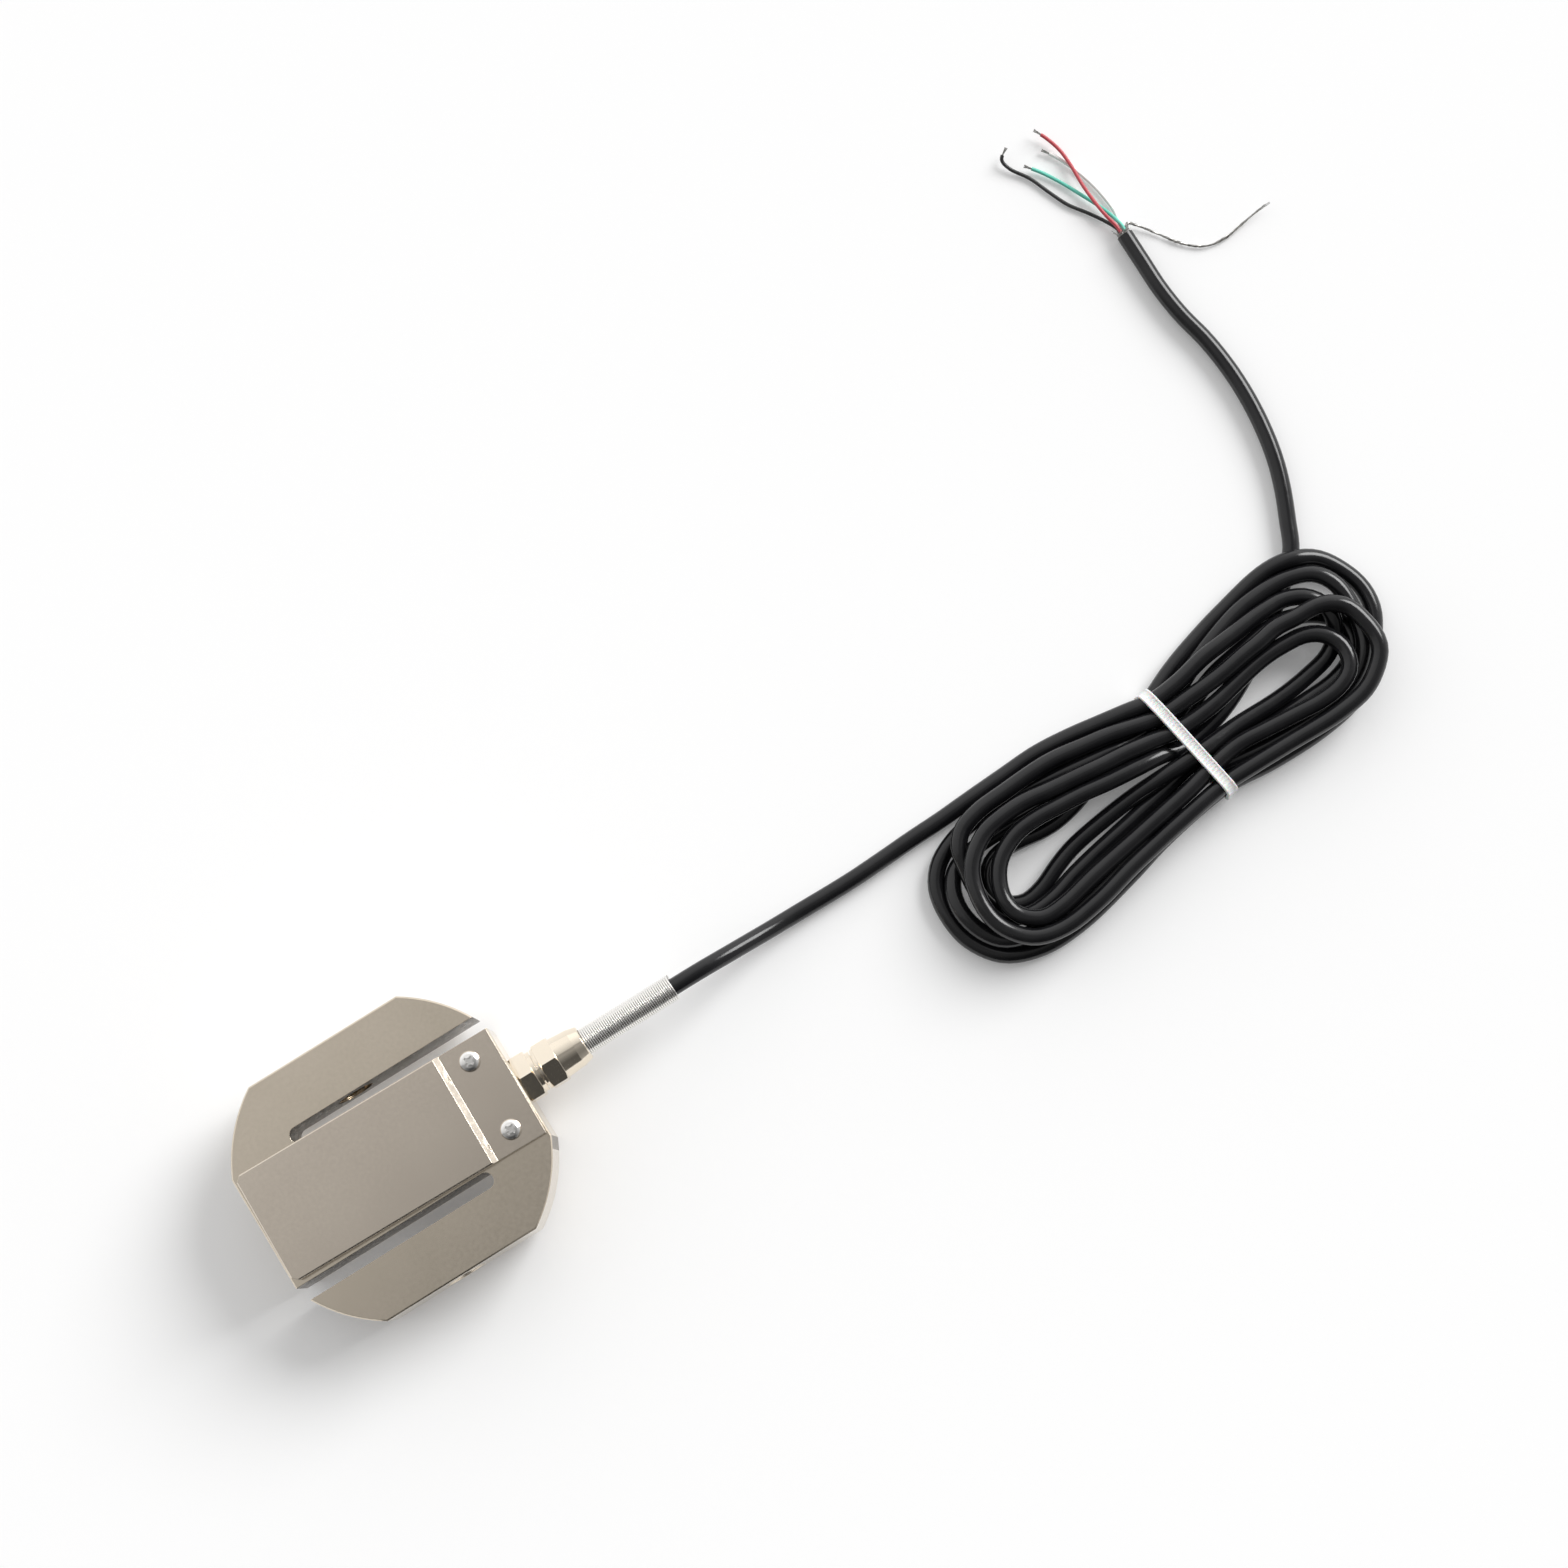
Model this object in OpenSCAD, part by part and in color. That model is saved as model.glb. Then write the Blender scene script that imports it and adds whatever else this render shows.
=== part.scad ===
// S-type load cell with a spring-guarded cable, lying flat on its back cover.
// Origin: on the supporting surface, below the crossing of the load axis and the cable axis.
// +Y runs along the load axis, +X runs out along the cable, +Z is up.

/* [Body] */
// Diameter of the round blank
body_d = 90; // [84:1:100]
// Thickness of the body
body_t = 20; // [18:0.5:26]
// Distance between the two load faces
load_h = 76; // [70:1:80]
// Distance between the two side flats
side_w = 82.4; // [80:0.2:84]
// Chamfer on the outer edges
edge_c = 0.4; // [0.2:0.1:0.8]

/* [Slots] */
// Width of the centre bar between the two slots
bar_w = 34; // [32:0.5:36]
// Width of each slot
slot_w = 4.7; // [4.2:0.1:6]
// Distance from the load axis to the closed end of each slot
slot_reach = 21.3; // [18:0.1:24]

/* [Load holes] */
// Tapping bore of the load thread
load_hole_d = 10.2; // [8.5:0.1:11]
// Diameter of the countersink at each load face
load_mouth_d = 12.6; // [12:0.2:14]

/* [Gauge cavity] */
// Diameter of the two gauge bores
gauge_bore_d = 20; // [18:0.5:22]
// Distance from the load axis to each gauge bore
gauge_bore_x = 15; // [14:0.5:16]
// Width of the passage that joins the gauge bores
gauge_passage_w = 9; // [7:0.5:12]

/* [Covers] */
// Length of each cover
cover_l = 80.8; // [78:0.2:81]
// Width of each cover
cover_w = 33.6; // [31:0.2:34]
// Thickness of the main plate
cover_t = 4; // [3:0.1:5]
// Thickness of the stepped-down screw flange
flange_t = 2.5; // [2:0.1:3]
// Length of the screw flange
flange_l = 15.4; // [13:0.2:18]
// Plan length of the slope between main plate and flange
step_run = 1.7; // [1:0.1:3]
// Gap between the end of the flange and the side flat
cover_inset = 0.4; // [0.2:0.1:1]
// Clipped corner at the far end of the main plate
corner_clip = 1.7; // [0.5:0.1:3]
// Bevel around the top of the main plate
cover_bevel = 0.35; // [0.2:0.05:0.6]
// Turn of the front cover about its screws, from the play in their holes
cover_turn = 0.9; // [0:0.1:1]
// Thickness of the flat gasket under each cover
gasket_t = 0.4; // [0.3:0.1:0.8]
// Width of the gasket frame
gasket_rim = 4; // [3:0.5:5]

/* [Cover screws] */
// Distance from the long side of a cover to each of its screws
screw_edge = 5.7; // [5:0.1:6.5]
// Distance from the end of the flange to the screw line
screw_inset = 8.2; // [7:0.2:9]
// Shank diameter of the screws
screw_d = 2.9; // [2.5:0.1:3]
// Depth of the screws in the body
screw_depth = 6; // [4:0.5:7]
// Diameter of the pan head
pan_head_d = 6; // [5.5:0.1:6.5]
// Height of the pan head
pan_head_h = 2.1; // [1.8:0.1:2.6]
// Diameter of the flush head
flush_head_d = 5.6; // [5:0.1:6]
// Height of the flush head
flush_head_h = 1.6; // [1.4:0.1:1.8]
// Width of each arm of the cross recess
cross_w = 0.75; // [0.5:0.05:0.9]
// Length across the cross recess
cross_l = 3; // [2.4:0.1:3.4]
// Depth of the cross recess
cross_depth = 1.1; // [0.8:0.1:1.3]

/* [Cable gland] */
// Diameter of the shank that screws into the body
shank_d = 9.7; // [9:0.1:10.5]
// Length of the shank
shank_l = 7.8; // [6:0.2:9]
// Width across the flats of the body hexagon
gland_hex_af = 13.4; // [13:0.2:15]
// Length of the body hexagon
gland_hex_l = 4.6; // [3.6:0.2:5]
// Diameter of the round collar beside the body hexagon
collar_d = 12.4; // [11.5:0.1:13]
// Length of the round collar
collar_l = 1.2; // [0.8:0.1:1.6]
// Diameter of the threaded spigot inside the nut
spigot_d = 10; // [9.6:0.1:10.4]
// Length of the spigot from the collar
spigot_l = 6.2; // [5:0.1:7]
// Gap between the collar and the nut
nut_gap = 0.4; // [0.3:0.1:1]
// Length of the round lip in front of the nut hexagon
nut_lip_l = 0.8; // [0.5:0.1:1.2]
// Width across the flats of the nut hexagon
nut_hex_af = 13; // [12.6:0.2:14]
// Length of the nut hexagon
nut_hex_l = 5.2; // [4:0.2:6]
// Diameter of the nut's cone beside the hexagon
cone_big_d = 12.4; // [12:0.1:13]
// Diameter of the nut's cone at its end
cone_end_d = 10.2; // [9.6:0.1:10.8]
// Length of the nut's cone
cone_l = 8.6; // [8:0.2:10]
// Wall of the nut's cone around the spring
cone_lip_l = 4.6; // [3.6:0.2:5]

/* [Spring guard] */
// Outer diameter of the coil spring
spring_d = 8; // [7.6:0.1:8.4]
// Wire diameter of the coil spring
spring_wire_d = 0.65; // [0.5:0.05:0.8]
// Number of close coils
spring_coils = 53; // [40:1:60]

/* [Cable] */
// Outer diameter of the cable
cable_d = 5; // [4.6:0.1:5.2]
// Outer diameter of each insulated core
core_d = 1.1; // [0.9:0.05:1.2]
// Diameter of the bare drain wire
drain_d = 0.9; // [0.7:0.05:1]
// Height of the tied hank
hank_h = 14; // [13:0.5:18]
// Width of the hank under its tie
hank_waist_w = 38; // [34:0.5:42]
// Width of the tie
tie_w = 3.5; // [2.5:0.1:4.8]
// Thickness of the tie
tie_t = 1.2; // [1:0.1:1.5]

/* [Fits] */
// Radial clearance of pins, shanks and tubes in their holes
fit_gap = 0.05; // [0.03:0.01:0.1]
// Radial clearance of the screws in the covers
play = 0.3; // [0.25:0.05:0.4]

/* [Hidden] */

$fn = 64;
// overshoot that keeps cuts clear of the faces they pass
over = 1;

// heights of the stacked layers
back_z = cover_t + gasket_t;
front_z = back_z + body_t;
axis_z = back_z + body_t / 2;
front_cover_z = front_z + gasket_t;

// slots and outer bars
slot_in = bar_w / 2;
slot_out = slot_in + slot_w;

// covers and their screws
side_x = side_w / 2;
cover_x1 = side_x - cover_inset;
cover_x0 = cover_x1 - cover_l;
flange_x0 = cover_x1 - flange_l;
screw_x = cover_x1 - screw_inset;
screw_y = cover_w / 2 - screw_edge;
cover_hole_d = screw_d + 2 * play;
body_hole_d = screw_d + 2 * fit_gap;

// gauge cavity and what is bonded inside it
gauge_bore_r = gauge_bore_d / 2;
glue_t = 0.05;
gauge_t = 0.25;
gauge_w = 5;
gauge_l = 9;
board_t = 0.8;
board_l = 12;
board_h = 13;
board_y0 = -gauge_passage_w / 2;
board_y1 = board_y0 + board_t;
pad_d = 1.5;
pad_h = 0.5;
pad_rows = 4;
pad_pitch = 2.9;
pad_x = 4;
resistor_l = 2;
resistor_w = 1.2;
resistor_t = 0.5;
gauge_wire_d = 0.4;
wire_sides = 8;

// gland, from the side flat outwards
shank_hole_d = shank_d + 2 * fit_gap;
cable_hole_d = cable_d + 1;
shank_x0 = side_x - shank_l;
collar_x = side_x + gland_hex_l;
collar_x1 = collar_x + collar_l;
spigot_x1 = collar_x1 + spigot_l;
nut_x0 = collar_x1 + nut_gap;
nut_hex_x = nut_x0 + nut_lip_l;
cone_x = nut_hex_x + nut_hex_l;
cone_x1 = cone_x + cone_l;
lip_x = cone_x1 - cone_lip_l;
grommet_x0 = spigot_x1;
grommet_d = spigot_d - 1.4;
seal_d = 1;
seal_ring_d = shank_d + 2 * seal_d;
hex_chamfer = 0.7;

// spring, its start seated inside the nut against the shoulder at lip_x
spring_pitch = spring_wire_d;
spring_x1 = lip_x + spring_coils * spring_pitch;
spring_bore_d = spring_d - 2 * spring_wire_d;

// cable inside the gland and the spring; it ends at the passage into the gauge cavity
entry_x0 = gauge_bore_x + gauge_bore_r + 4;

// route of the cable from the spring to the hank, straight out, down to the surface and along it
LEAD_ROUTE = [[0, 0, 0], [5, 0, 0], [10, 0, -0.6], [16, 0, -2.4], [23, 0.1, -5.4], [30, 0.2, -8.4],
              [37, 0.3, -10.6], [44, 0.3, -11.6], [51, 0.2, -11.9], [60, 0.2, -11.9],
              [70, 0.6, -11.9], [80, 1.1, -11.9], [90, 1.4, -11.9], [100, 1.6, -11.9],
              [112, 1.8, -11.9]];
// route of the tail from the hank to the cut end of the jacket
TAIL_ROUTE = [[309, 14, 2.5], [313, 22, 2.5], [317, 31, 2.5], [320, 40, 2.5], [322, 50, 2.5],
              [323, 60, 2.5], [323, 70, 2.5], [322, 80, 2.5], [320, 90, 2.5], [319, 100, 2.5],
              [319, 110, 2.5], [319, 119, 2.5]];
// routes of the four cores and the drain wire from the cut end of the jacket
RED_ROUTE = [[318.3, 120, 3.2], [318.3, 122, 3.3], [317.4, 126, 3.6], [316.8, 131, 3.4],
             [316.6, 138, 2.8], [317, 145, 2.2], [316.8, 151, 1.8], [315.4, 156, 2],
             [313.4, 160, 2.6]];
GREEN_ROUTE = [[319.7, 120, 3.2], [319.7, 122, 3], [319, 126, 2.2], [317.4, 131, 1.4],
               [315.2, 136, 1.1], [312.4, 142, 0.9], [309, 148, 1], [305.4, 152.6, 1.6]];
WHITE_ROUTE = [[319.7, 120, 1.8], [319.7, 122, 1.4], [320.6, 127, 0.8], [320.4, 132, 0.7],
               [319.4, 138, 0.7], [317.6, 144, 0.7], [315, 150, 0.8], [312.4, 154, 1.2]];
BLACK_ROUTE = [[318.3, 120, 1.8], [318.3, 122, 1.6], [316.6, 126, 1.1], [313.6, 131, 0.8],
               [310.2, 136, 0.7], [307.6, 142, 0.7], [305, 148.6, 0.8], [301.4, 154.4, 1.2],
               [300.8, 157.6, 2], [303.6, 159.8, 3]];
DRAIN_ROUTE = [[320.5, 120, 2.5], [320.5, 121, 2.5], [321.8, 121.6, 2], [324, 119.6, 1.2],
               [327.4, 115, 0.7], [330.4, 110.6, 0.6], [333.6, 106.8, 0.6], [338, 103.8, 0.6],
               [343.6, 103, 0.6], [351, 104, 1], [356, 104.6, 1.8], [360, 104.6, 2.8]];

// cut shield at the jacket's end
shield_d = 4;
shield_l = 1;

// hank: a lobe at each end and a waist under the tie, turned a little from the cable axis
LOBE_LEFT = [190, -25];
LOBE_RIGHT = [296, -10];
lobe_left_r = 23.5;
lobe_right_r = 26;
WAIST = [252.5, -17.5];
hank_turn = 10;
// flat where the lead joins the side of the hank
lead_flat_x = spring_x1 + 112;
lead_flat_w = 7;
// flat where the tail leaves the hank
tail_turn = 63.4;
tail_flat_w = 7;
tail_flat_l = 12;

// tie: the strap's inner size is the hank's waist
tie_head_w = 6;
tie_head_l = 5;
tie_head_h = 3.6;
tie_slack = 0.1;

// Unit vector of v
function unit(v) = v / norm(v);

// Direction of a route at point i, from its neighbours
function heading(route, i) =
    unit(route[min(i + 1, len(route) - 1)] - route[max(i - 1, 0)]);

// One ring of a round tube at point i of a route
function ring(route, i, r, sides) =
    let (t = heading(route, i), s = unit(cross(t, [0, 0, 1])), u = cross(s, t))
    [for (k = [0 : sides - 1])
        let (a = 360 * (k + 0.5) / sides)
        route[i] + r * (cos(a) * s + sin(a) * u)];

// Round tube swept along a route
module tube(route, d, sides) {
    count = len(route);
    points = [for (i = [0 : count - 1]) each ring(route, i, d / 2, sides)];
    walls = [for (i = [0 : count - 2], k = [0 : sides - 1])
        let (a = i * sides + k, b = i * sides + (k + 1) % sides)
        each [[a, a + sides, b + sides], [a, b + sides, b]]];
    first = [for (k = [0 : sides - 1]) k];
    last = [for (k = [sides - 1 : -1 : 0]) (count - 1) * sides + k];
    polyhedron(points, concat(walls, [first, last]));
}

// Cylinder along +X from x0 to x1 on the cable axis
module bar_x(x0, x1, d) {
    translate([x0, 0, axis_z])
        rotate([0, 90, 0])
            cylinder(d = d, h = x1 - x0);
}

// Hexagon along +X with one corner up and its outer corners turned off
module hex_x(x0, x1, af, chamfer) {
    across = af / cos(30);
    intersection() {
        translate([x0, 0, axis_z])
            rotate([0, 90, 0])
                cylinder(d = across, h = x1 - x0, $fn = 6);
        translate([x0, 0, axis_z])
            rotate([0, 90, 0])
                rotate_extrude()
                    polygon([[0, 0], [across / 2 - chamfer, 0], [across / 2, chamfer * 0.6],
                             [across / 2, x1 - x0 - chamfer * 0.6],
                             [across / 2 - chamfer, x1 - x0], [0, x1 - x0]]);
    }
}

// Bar of width w and height h with chamfered edges, centred, extruded over length l
module chamfered_prism(w, h, l, c) {
    linear_extrude(height = l, center = true)
        polygon([[-w / 2 + c, -h / 2], [w / 2 - c, -h / 2], [w / 2, -h / 2 + c],
                 [w / 2, h / 2 - c], [w / 2 - c, h / 2], [-w / 2 + c, h / 2],
                 [-w / 2, h / 2 - c], [-w / 2, -h / 2 + c]]);
}

// Round blank with its load faces and side flats, all edges chamfered
module body_blank() {
    r = body_d / 2;
    translate([0, 0, axis_z])
        intersection() {
            rotate_extrude($fn = 180)
                polygon([[0, -body_t / 2], [r - edge_c, -body_t / 2], [r, -body_t / 2 + edge_c],
                         [r, body_t / 2 - edge_c], [r - edge_c, body_t / 2], [0, body_t / 2]]);
            rotate([0, 90, 0])
                chamfered_prism(body_t, load_h, body_d + over, edge_c);
            rotate([90, 0, 0])
                chamfered_prism(side_w, body_t, body_d + over, edge_c);
        }
}

// Slot above the centre bar, open towards +X and closed by a full radius
module slot_cut() {
    x0 = -slot_reach + slot_w / 2;
    translate([x0, slot_in + slot_w / 2, back_z - over])
        cylinder(d = slot_w, h = body_t + 2 * over);
    translate([x0, slot_in, back_z - over])
        cube([body_d, slot_w, body_t + 2 * over]);
}

// Tapping bore through the upper outer bar, countersunk at the load face
module load_hole_cut() {
    depth = (load_mouth_d - load_hole_d) / 2;
    translate([0, slot_in + slot_w / 2, axis_z])
        rotate([-90, 0, 0])
            cylinder(d = load_hole_d, h = load_h);
    translate([0, load_h / 2 - depth, axis_z])
        rotate([-90, 0, 0])
            cylinder(d1 = load_hole_d, d2 = load_mouth_d + 2 * over, h = depth + over);
}

// Two gauge bores and the passage that joins them, through the centre bar
module cavity_cut() {
    for (x = [-gauge_bore_x, gauge_bore_x])
        translate([x, 0, back_z - over])
            cylinder(d = gauge_bore_d, h = body_t + 2 * over);
    translate([-gauge_bore_x, -gauge_passage_w / 2, back_z - over])
        cube([2 * gauge_bore_x, gauge_passage_w, body_t + 2 * over]);
}

// Places its child at both screws of a cover
module at_screws() {
    for (y = [-screw_y, screw_y])
        translate([screw_x, y, 0])
            children();
}

// One-piece S: two outer bars joined to the centre bar at opposite ends
module s_body() {
    color([0.66, 0.62, 0.57])
        difference() {
            body_blank();
            slot_cut();
            rotate([0, 0, 180])
                slot_cut();
            load_hole_cut();
            rotate([0, 0, 180])
                load_hole_cut();
            cavity_cut();
            bar_x(shank_x0, side_x + over, shank_hole_d);
            bar_x(gauge_bore_x, side_x, cable_hole_d);
            at_screws()
                translate([0, 0, front_z - screw_depth])
                    cylinder(d = body_hole_d, h = screw_depth + over);
            at_screws()
                translate([0, 0, back_z - over])
                    cylinder(d = body_hole_d, h = screw_depth + over);
        }
}

// Side profile of a cover: main plate, slope and screw flange
module cover_profile() {
    linear_extrude(height = cover_w, center = true)
        polygon([[cover_x0, 0], [cover_x1, 0], [cover_x1, flange_t], [flange_x0, flange_t],
                 [flange_x0 - step_run, cover_t], [cover_x0 + cover_bevel, cover_t],
                 [cover_x0, cover_t - cover_bevel]]);
}

// Outline of a cover from above, with the two clipped corners
module cover_outline() {
    linear_extrude(height = cover_t)
        polygon([[cover_x0 + corner_clip, -cover_w / 2], [cover_x1, -cover_w / 2],
                 [cover_x1, cover_w / 2], [cover_x0 + corner_clip, cover_w / 2],
                 [cover_x0, cover_w / 2 - corner_clip], [cover_x0, -cover_w / 2 + corner_clip]]);
}

// Cross section of a cover, bevelled along both top edges
module cover_section() {
    linear_extrude(height = cover_l + 2 * over)
        polygon([[-cover_w / 2, 0], [cover_w / 2, 0], [cover_w / 2, cover_t - cover_bevel],
                 [cover_w / 2 - cover_bevel, cover_t], [-cover_w / 2 + cover_bevel, cover_t],
                 [-cover_w / 2, cover_t - cover_bevel]]);
}

// Stepped cover lying on z = 0, before its screw holes
module cover_blank() {
    intersection() {
        rotate([90, 0, 0])
            cover_profile();
        cover_outline();
        translate([cover_x0 - over, 0, 0])
            rotate([90, 0, 90])
                cover_section();
    }
}

// Front cover, turned a little about its screws
module front_cover() {
    color([0.65, 0.63, 0.57])
        translate([screw_x, 0, front_cover_z])
            rotate([0, 0, -cover_turn])
                translate([-screw_x, 0, 0])
                    difference() {
                        cover_blank();
                        at_screws()
                            translate([0, 0, -over])
                                cylinder(d = cover_hole_d, h = cover_t + 2 * over);
                    }
}

// Back cover, its screws flush so that the cell lies flat
module back_cover() {
    color([0.65, 0.63, 0.57])
        difference() {
            translate([0, 0, cover_t])
                mirror([0, 0, 1])
                    cover_blank();
            at_screws()
                translate([0, 0, -over])
                    cylinder(d = cover_hole_d, h = cover_t + 2 * over);
            at_screws()
                translate([0, 0, cover_t - flange_t - over])
                    cylinder(d = flush_head_d + 2 * fit_gap, h = over);
            at_screws()
                translate([0, 0, cover_t - flange_t])
                    cylinder(d1 = flush_head_d + 2 * fit_gap, d2 = screw_d + 2 * fit_gap,
                             h = flush_head_h);
        }
}

// Flat gasket frame between a cover and the body
module gasket() {
    color([0.16, 0.16, 0.16])
        difference() {
            translate([cover_x0 + corner_clip, -cover_w / 2 + corner_clip, 0])
                cube([cover_l - 2 * corner_clip, cover_w - 2 * corner_clip, gasket_t]);
            translate([cover_x0 + corner_clip + gasket_rim, -gauge_bore_r, -over])
                cube([shank_x0 - cover_x0 - corner_clip - 2 * gasket_rim, gauge_bore_d,
                      gasket_t + 2 * over]);
            at_screws()
                translate([0, 0, -over])
                    cylinder(d = cover_hole_d, h = gasket_t + 2 * over);
        }
}

module front_gasket() {
    translate([0, 0, front_z])
        gasket();
}

module back_gasket() {
    translate([0, 0, cover_t])
        gasket();
}

// Cross recess cut down from z = 0
module cross_cut() {
    for (a = [0, 90])
        rotate([0, 0, a + 35])
            translate([-cross_l / 2, -cross_w / 2, -cross_depth])
                cube([cross_l, cross_w, cross_depth + over]);
    translate([0, 0, -cross_depth])
        cylinder(d = cross_w * 2, h = cross_depth + over);
}

// Pan head screw, its head seated on z = 0
module pan_screw(shank) {
    r = pan_head_d / 2;
    difference() {
        union() {
            rotate_extrude()
                polygon([[0, 0], [r - 0.1, 0], [r, 0.15], [r - 0.05, pan_head_h * 0.4],
                         [r * 0.88, pan_head_h * 0.68], [r * 0.66, pan_head_h * 0.88],
                         [r * 0.35, pan_head_h], [0, pan_head_h]]);
            translate([0, 0, -shank])
                cylinder(d = screw_d, h = shank + pan_head_h / 2);
        }
        translate([0, 0, pan_head_h])
            cross_cut();
    }
}

// Flush screw, its flat head level with z = 0 and its shank upwards
module flush_screw(shank) {
    difference() {
        union() {
            cylinder(d1 = flush_head_d, d2 = screw_d, h = flush_head_h);
            cylinder(d = screw_d, h = shank);
        }
        rotate([180, 0, 0])
            cross_cut();
    }
}

module front_screws() {
    color([0.86, 0.86, 0.86])
        at_screws()
            translate([0, 0, front_cover_z + flange_t])
                pan_screw(flange_t + gasket_t + screw_depth - 1);
}

module back_screws() {
    color([0.86, 0.86, 0.86])
        at_screws()
            translate([0, 0, cover_t - flange_t])
                flush_screw(flange_t + gasket_t + screw_depth - 1);
}

// Foil strain gauge bonded on the wall of a gauge bore, sx and sy choose the quarter
module gauge(sx, sy) {
    r = gauge_bore_r - glue_t;
    color([0.80, 0.58, 0.24])
        translate([sx * gauge_bore_x, 0, axis_z])
            intersection() {
                difference() {
                    cylinder(r = r, h = gauge_l, center = true);
                    cylinder(r = r - gauge_t, h = gauge_l + over, center = true);
                }
                translate([-gauge_w / 2, sy > 0 ? 0 : -gauge_bore_r, -gauge_l / 2])
                    cube([gauge_w, gauge_bore_r, gauge_l]);
            }
}

// Terminal board standing on the wall of the passage between the gauge bores
module terminal_board() {
    color([0.16, 0.42, 0.22])
        translate([-board_l / 2, board_y0, axis_z - board_h / 2])
            cube([board_l, board_t, board_h]);
}

// Height of pad row i on the terminal board
function pad_z(i) = axis_z + (i - (pad_rows - 1) / 2) * pad_pitch;

// Domes of solder on the pads: cable cores on the right, gauge wires on the left
module solder_joints() {
    color([0.78, 0.78, 0.80])
        for (x = [-pad_x, pad_x], i = [0 : pad_rows - 1])
            translate([x, board_y1, pad_z(i)])
                rotate([-90, 0, 0])
                    cylinder(d1 = pad_d, d2 = pad_d * 0.6, h = pad_h, $fn = 24);
}

// Two chip resistors that trim the bridge
module trim_resistors() {
    color([0.12, 0.12, 0.13])
        for (i = [0.5, pad_rows - 1.5])
            translate([-resistor_w / 2, board_y1, pad_z(i) - resistor_l / 2])
                cube([resistor_w, resistor_t, resistor_l]);
}

// Fine lead from one gauge to its solder joint, its end resting on the dome
module gauge_wire(route) {
    tube(route, gauge_wire_d, wire_sides);
}

// The leads of all four gauges, each kept clear of the others by its height
module gauge_wires() {
    r = gauge_wire_d / 2;
    wall = sqrt(pow(gauge_bore_r - glue_t - gauge_t, 2) - r * r);
    top = board_y1 + pad_h + r * cos(180 / wire_sides);
    above = board_h / 2;
    color([0.72, 0.36, 0.16]) {
        gauge_wire([[-gauge_bore_x, -wall, pad_z(0)], [-gauge_bore_x, 1 - wall, pad_z(0)],
                    [-gauge_bore_x + 2, -gauge_bore_r / 2, pad_z(0)],
                    [-board_l / 2 - 2, top + 0.6, pad_z(0)],
                    [-board_l / 2, top, pad_z(0)], [-pad_x, top, pad_z(0)]]);
        gauge_wire([[-gauge_bore_x, wall, pad_z(1)], [-gauge_bore_x, wall - 1, pad_z(1)],
                    [-gauge_bore_x + 2, gauge_bore_r / 2, pad_z(1)],
                    [-board_l / 2 - 2, top + 2, pad_z(1)],
                    [-board_l / 2, top, pad_z(1)], [-pad_x, top, pad_z(1)]]);
        gauge_wire([[gauge_bore_x, wall, pad_z(2)], [gauge_bore_x, wall - 1, pad_z(2)],
                    [gauge_bore_x - 2, gauge_bore_r / 2, pad_z(2)],
                    [board_l / 2, top + 5, pad_z(2)], [0, top + 3, pad_z(2)],
                    [-pad_x / 2, top, pad_z(2)], [-pad_x, top, pad_z(2)]]);
        gauge_wire([[gauge_bore_x, -wall, pad_z(3)], [gauge_bore_x, 1 - wall, pad_z(3)],
                    [gauge_bore_x - 2, -gauge_bore_r / 2, axis_z + above],
                    [board_l / 2, top + 1, axis_z + above], [0, top + 1, axis_z + above],
                    [-pad_x / 2, top, pad_z(3)], [-pad_x, top, pad_z(3)]]);
    }
}

// One core of the cable inside the body, from the jacket's end to its solder joint
module board_lead(i) {
    off = cable_d * 0.22;
    dy = (i % 2 == 0 ? -1 : 1) * off;
    z = axis_z + (i < pad_rows / 2 ? -1 : 1) * off;
    top = board_y1 + pad_h + core_d / 2 * cos(180 / wire_sides);
    tube([[entry_x0, dy, z], [entry_x0 - 3, dy, z], [gauge_bore_x + 4, dy, z],
          [gauge_bore_x, (dy + top) / 2, (z + pad_z(i)) / 2],
          [board_l / 2 + 3, top, pad_z(i)], [board_l / 2, top, pad_z(i)],
          [pad_x, top, pad_z(i)]], core_d, wire_sides);
}

module board_lead_red() {
    color([0.75, 0.10, 0.08])
        board_lead(0);
}

module board_lead_green() {
    color([0.10, 0.50, 0.40])
        board_lead(1);
}

module board_lead_white() {
    color([0.90, 0.90, 0.88])
        board_lead(2);
}

module board_lead_black() {
    color([0.08, 0.08, 0.08])
        board_lead(3);
}

// Gland body: shank in the side flat, hexagon, collar and threaded spigot
module gland_body() {
    color([0.82, 0.78, 0.72])
        difference() {
            union() {
                bar_x(shank_x0, collar_x, shank_d);
                hex_x(side_x, collar_x, gland_hex_af, hex_chamfer);
                bar_x(collar_x - over, collar_x1, collar_d);
                bar_x(collar_x, spigot_x1, spigot_d);
            }
            bar_x(shank_x0 - over, spigot_x1 + over, cable_d + 2 * fit_gap);
            difference() {
                bar_x(side_x - over, side_x + seal_d, seal_ring_d);
                bar_x(side_x - 2 * over, side_x + 2 * seal_d, shank_d);
            }
        }
}

// Sealing ring in the groove of the gland's hexagon
module gland_seal() {
    color([0.10, 0.10, 0.10])
        translate([side_x + seal_d / 2, 0, axis_z])
            rotate([0, 90, 0])
                rotate_extrude()
                    translate([(seal_ring_d - seal_d) / 2, 0])
                        circle(d = seal_d - fit_gap, $fn = 24);
}

// Rubber grommet squeezed around the cable inside the nut
module gland_grommet() {
    color([0.13, 0.13, 0.13])
        difference() {
            bar_x(grommet_x0, lip_x, grommet_d);
            bar_x(grommet_x0 - over, lip_x + over, cable_d + 2 * fit_gap);
        }
}

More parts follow.
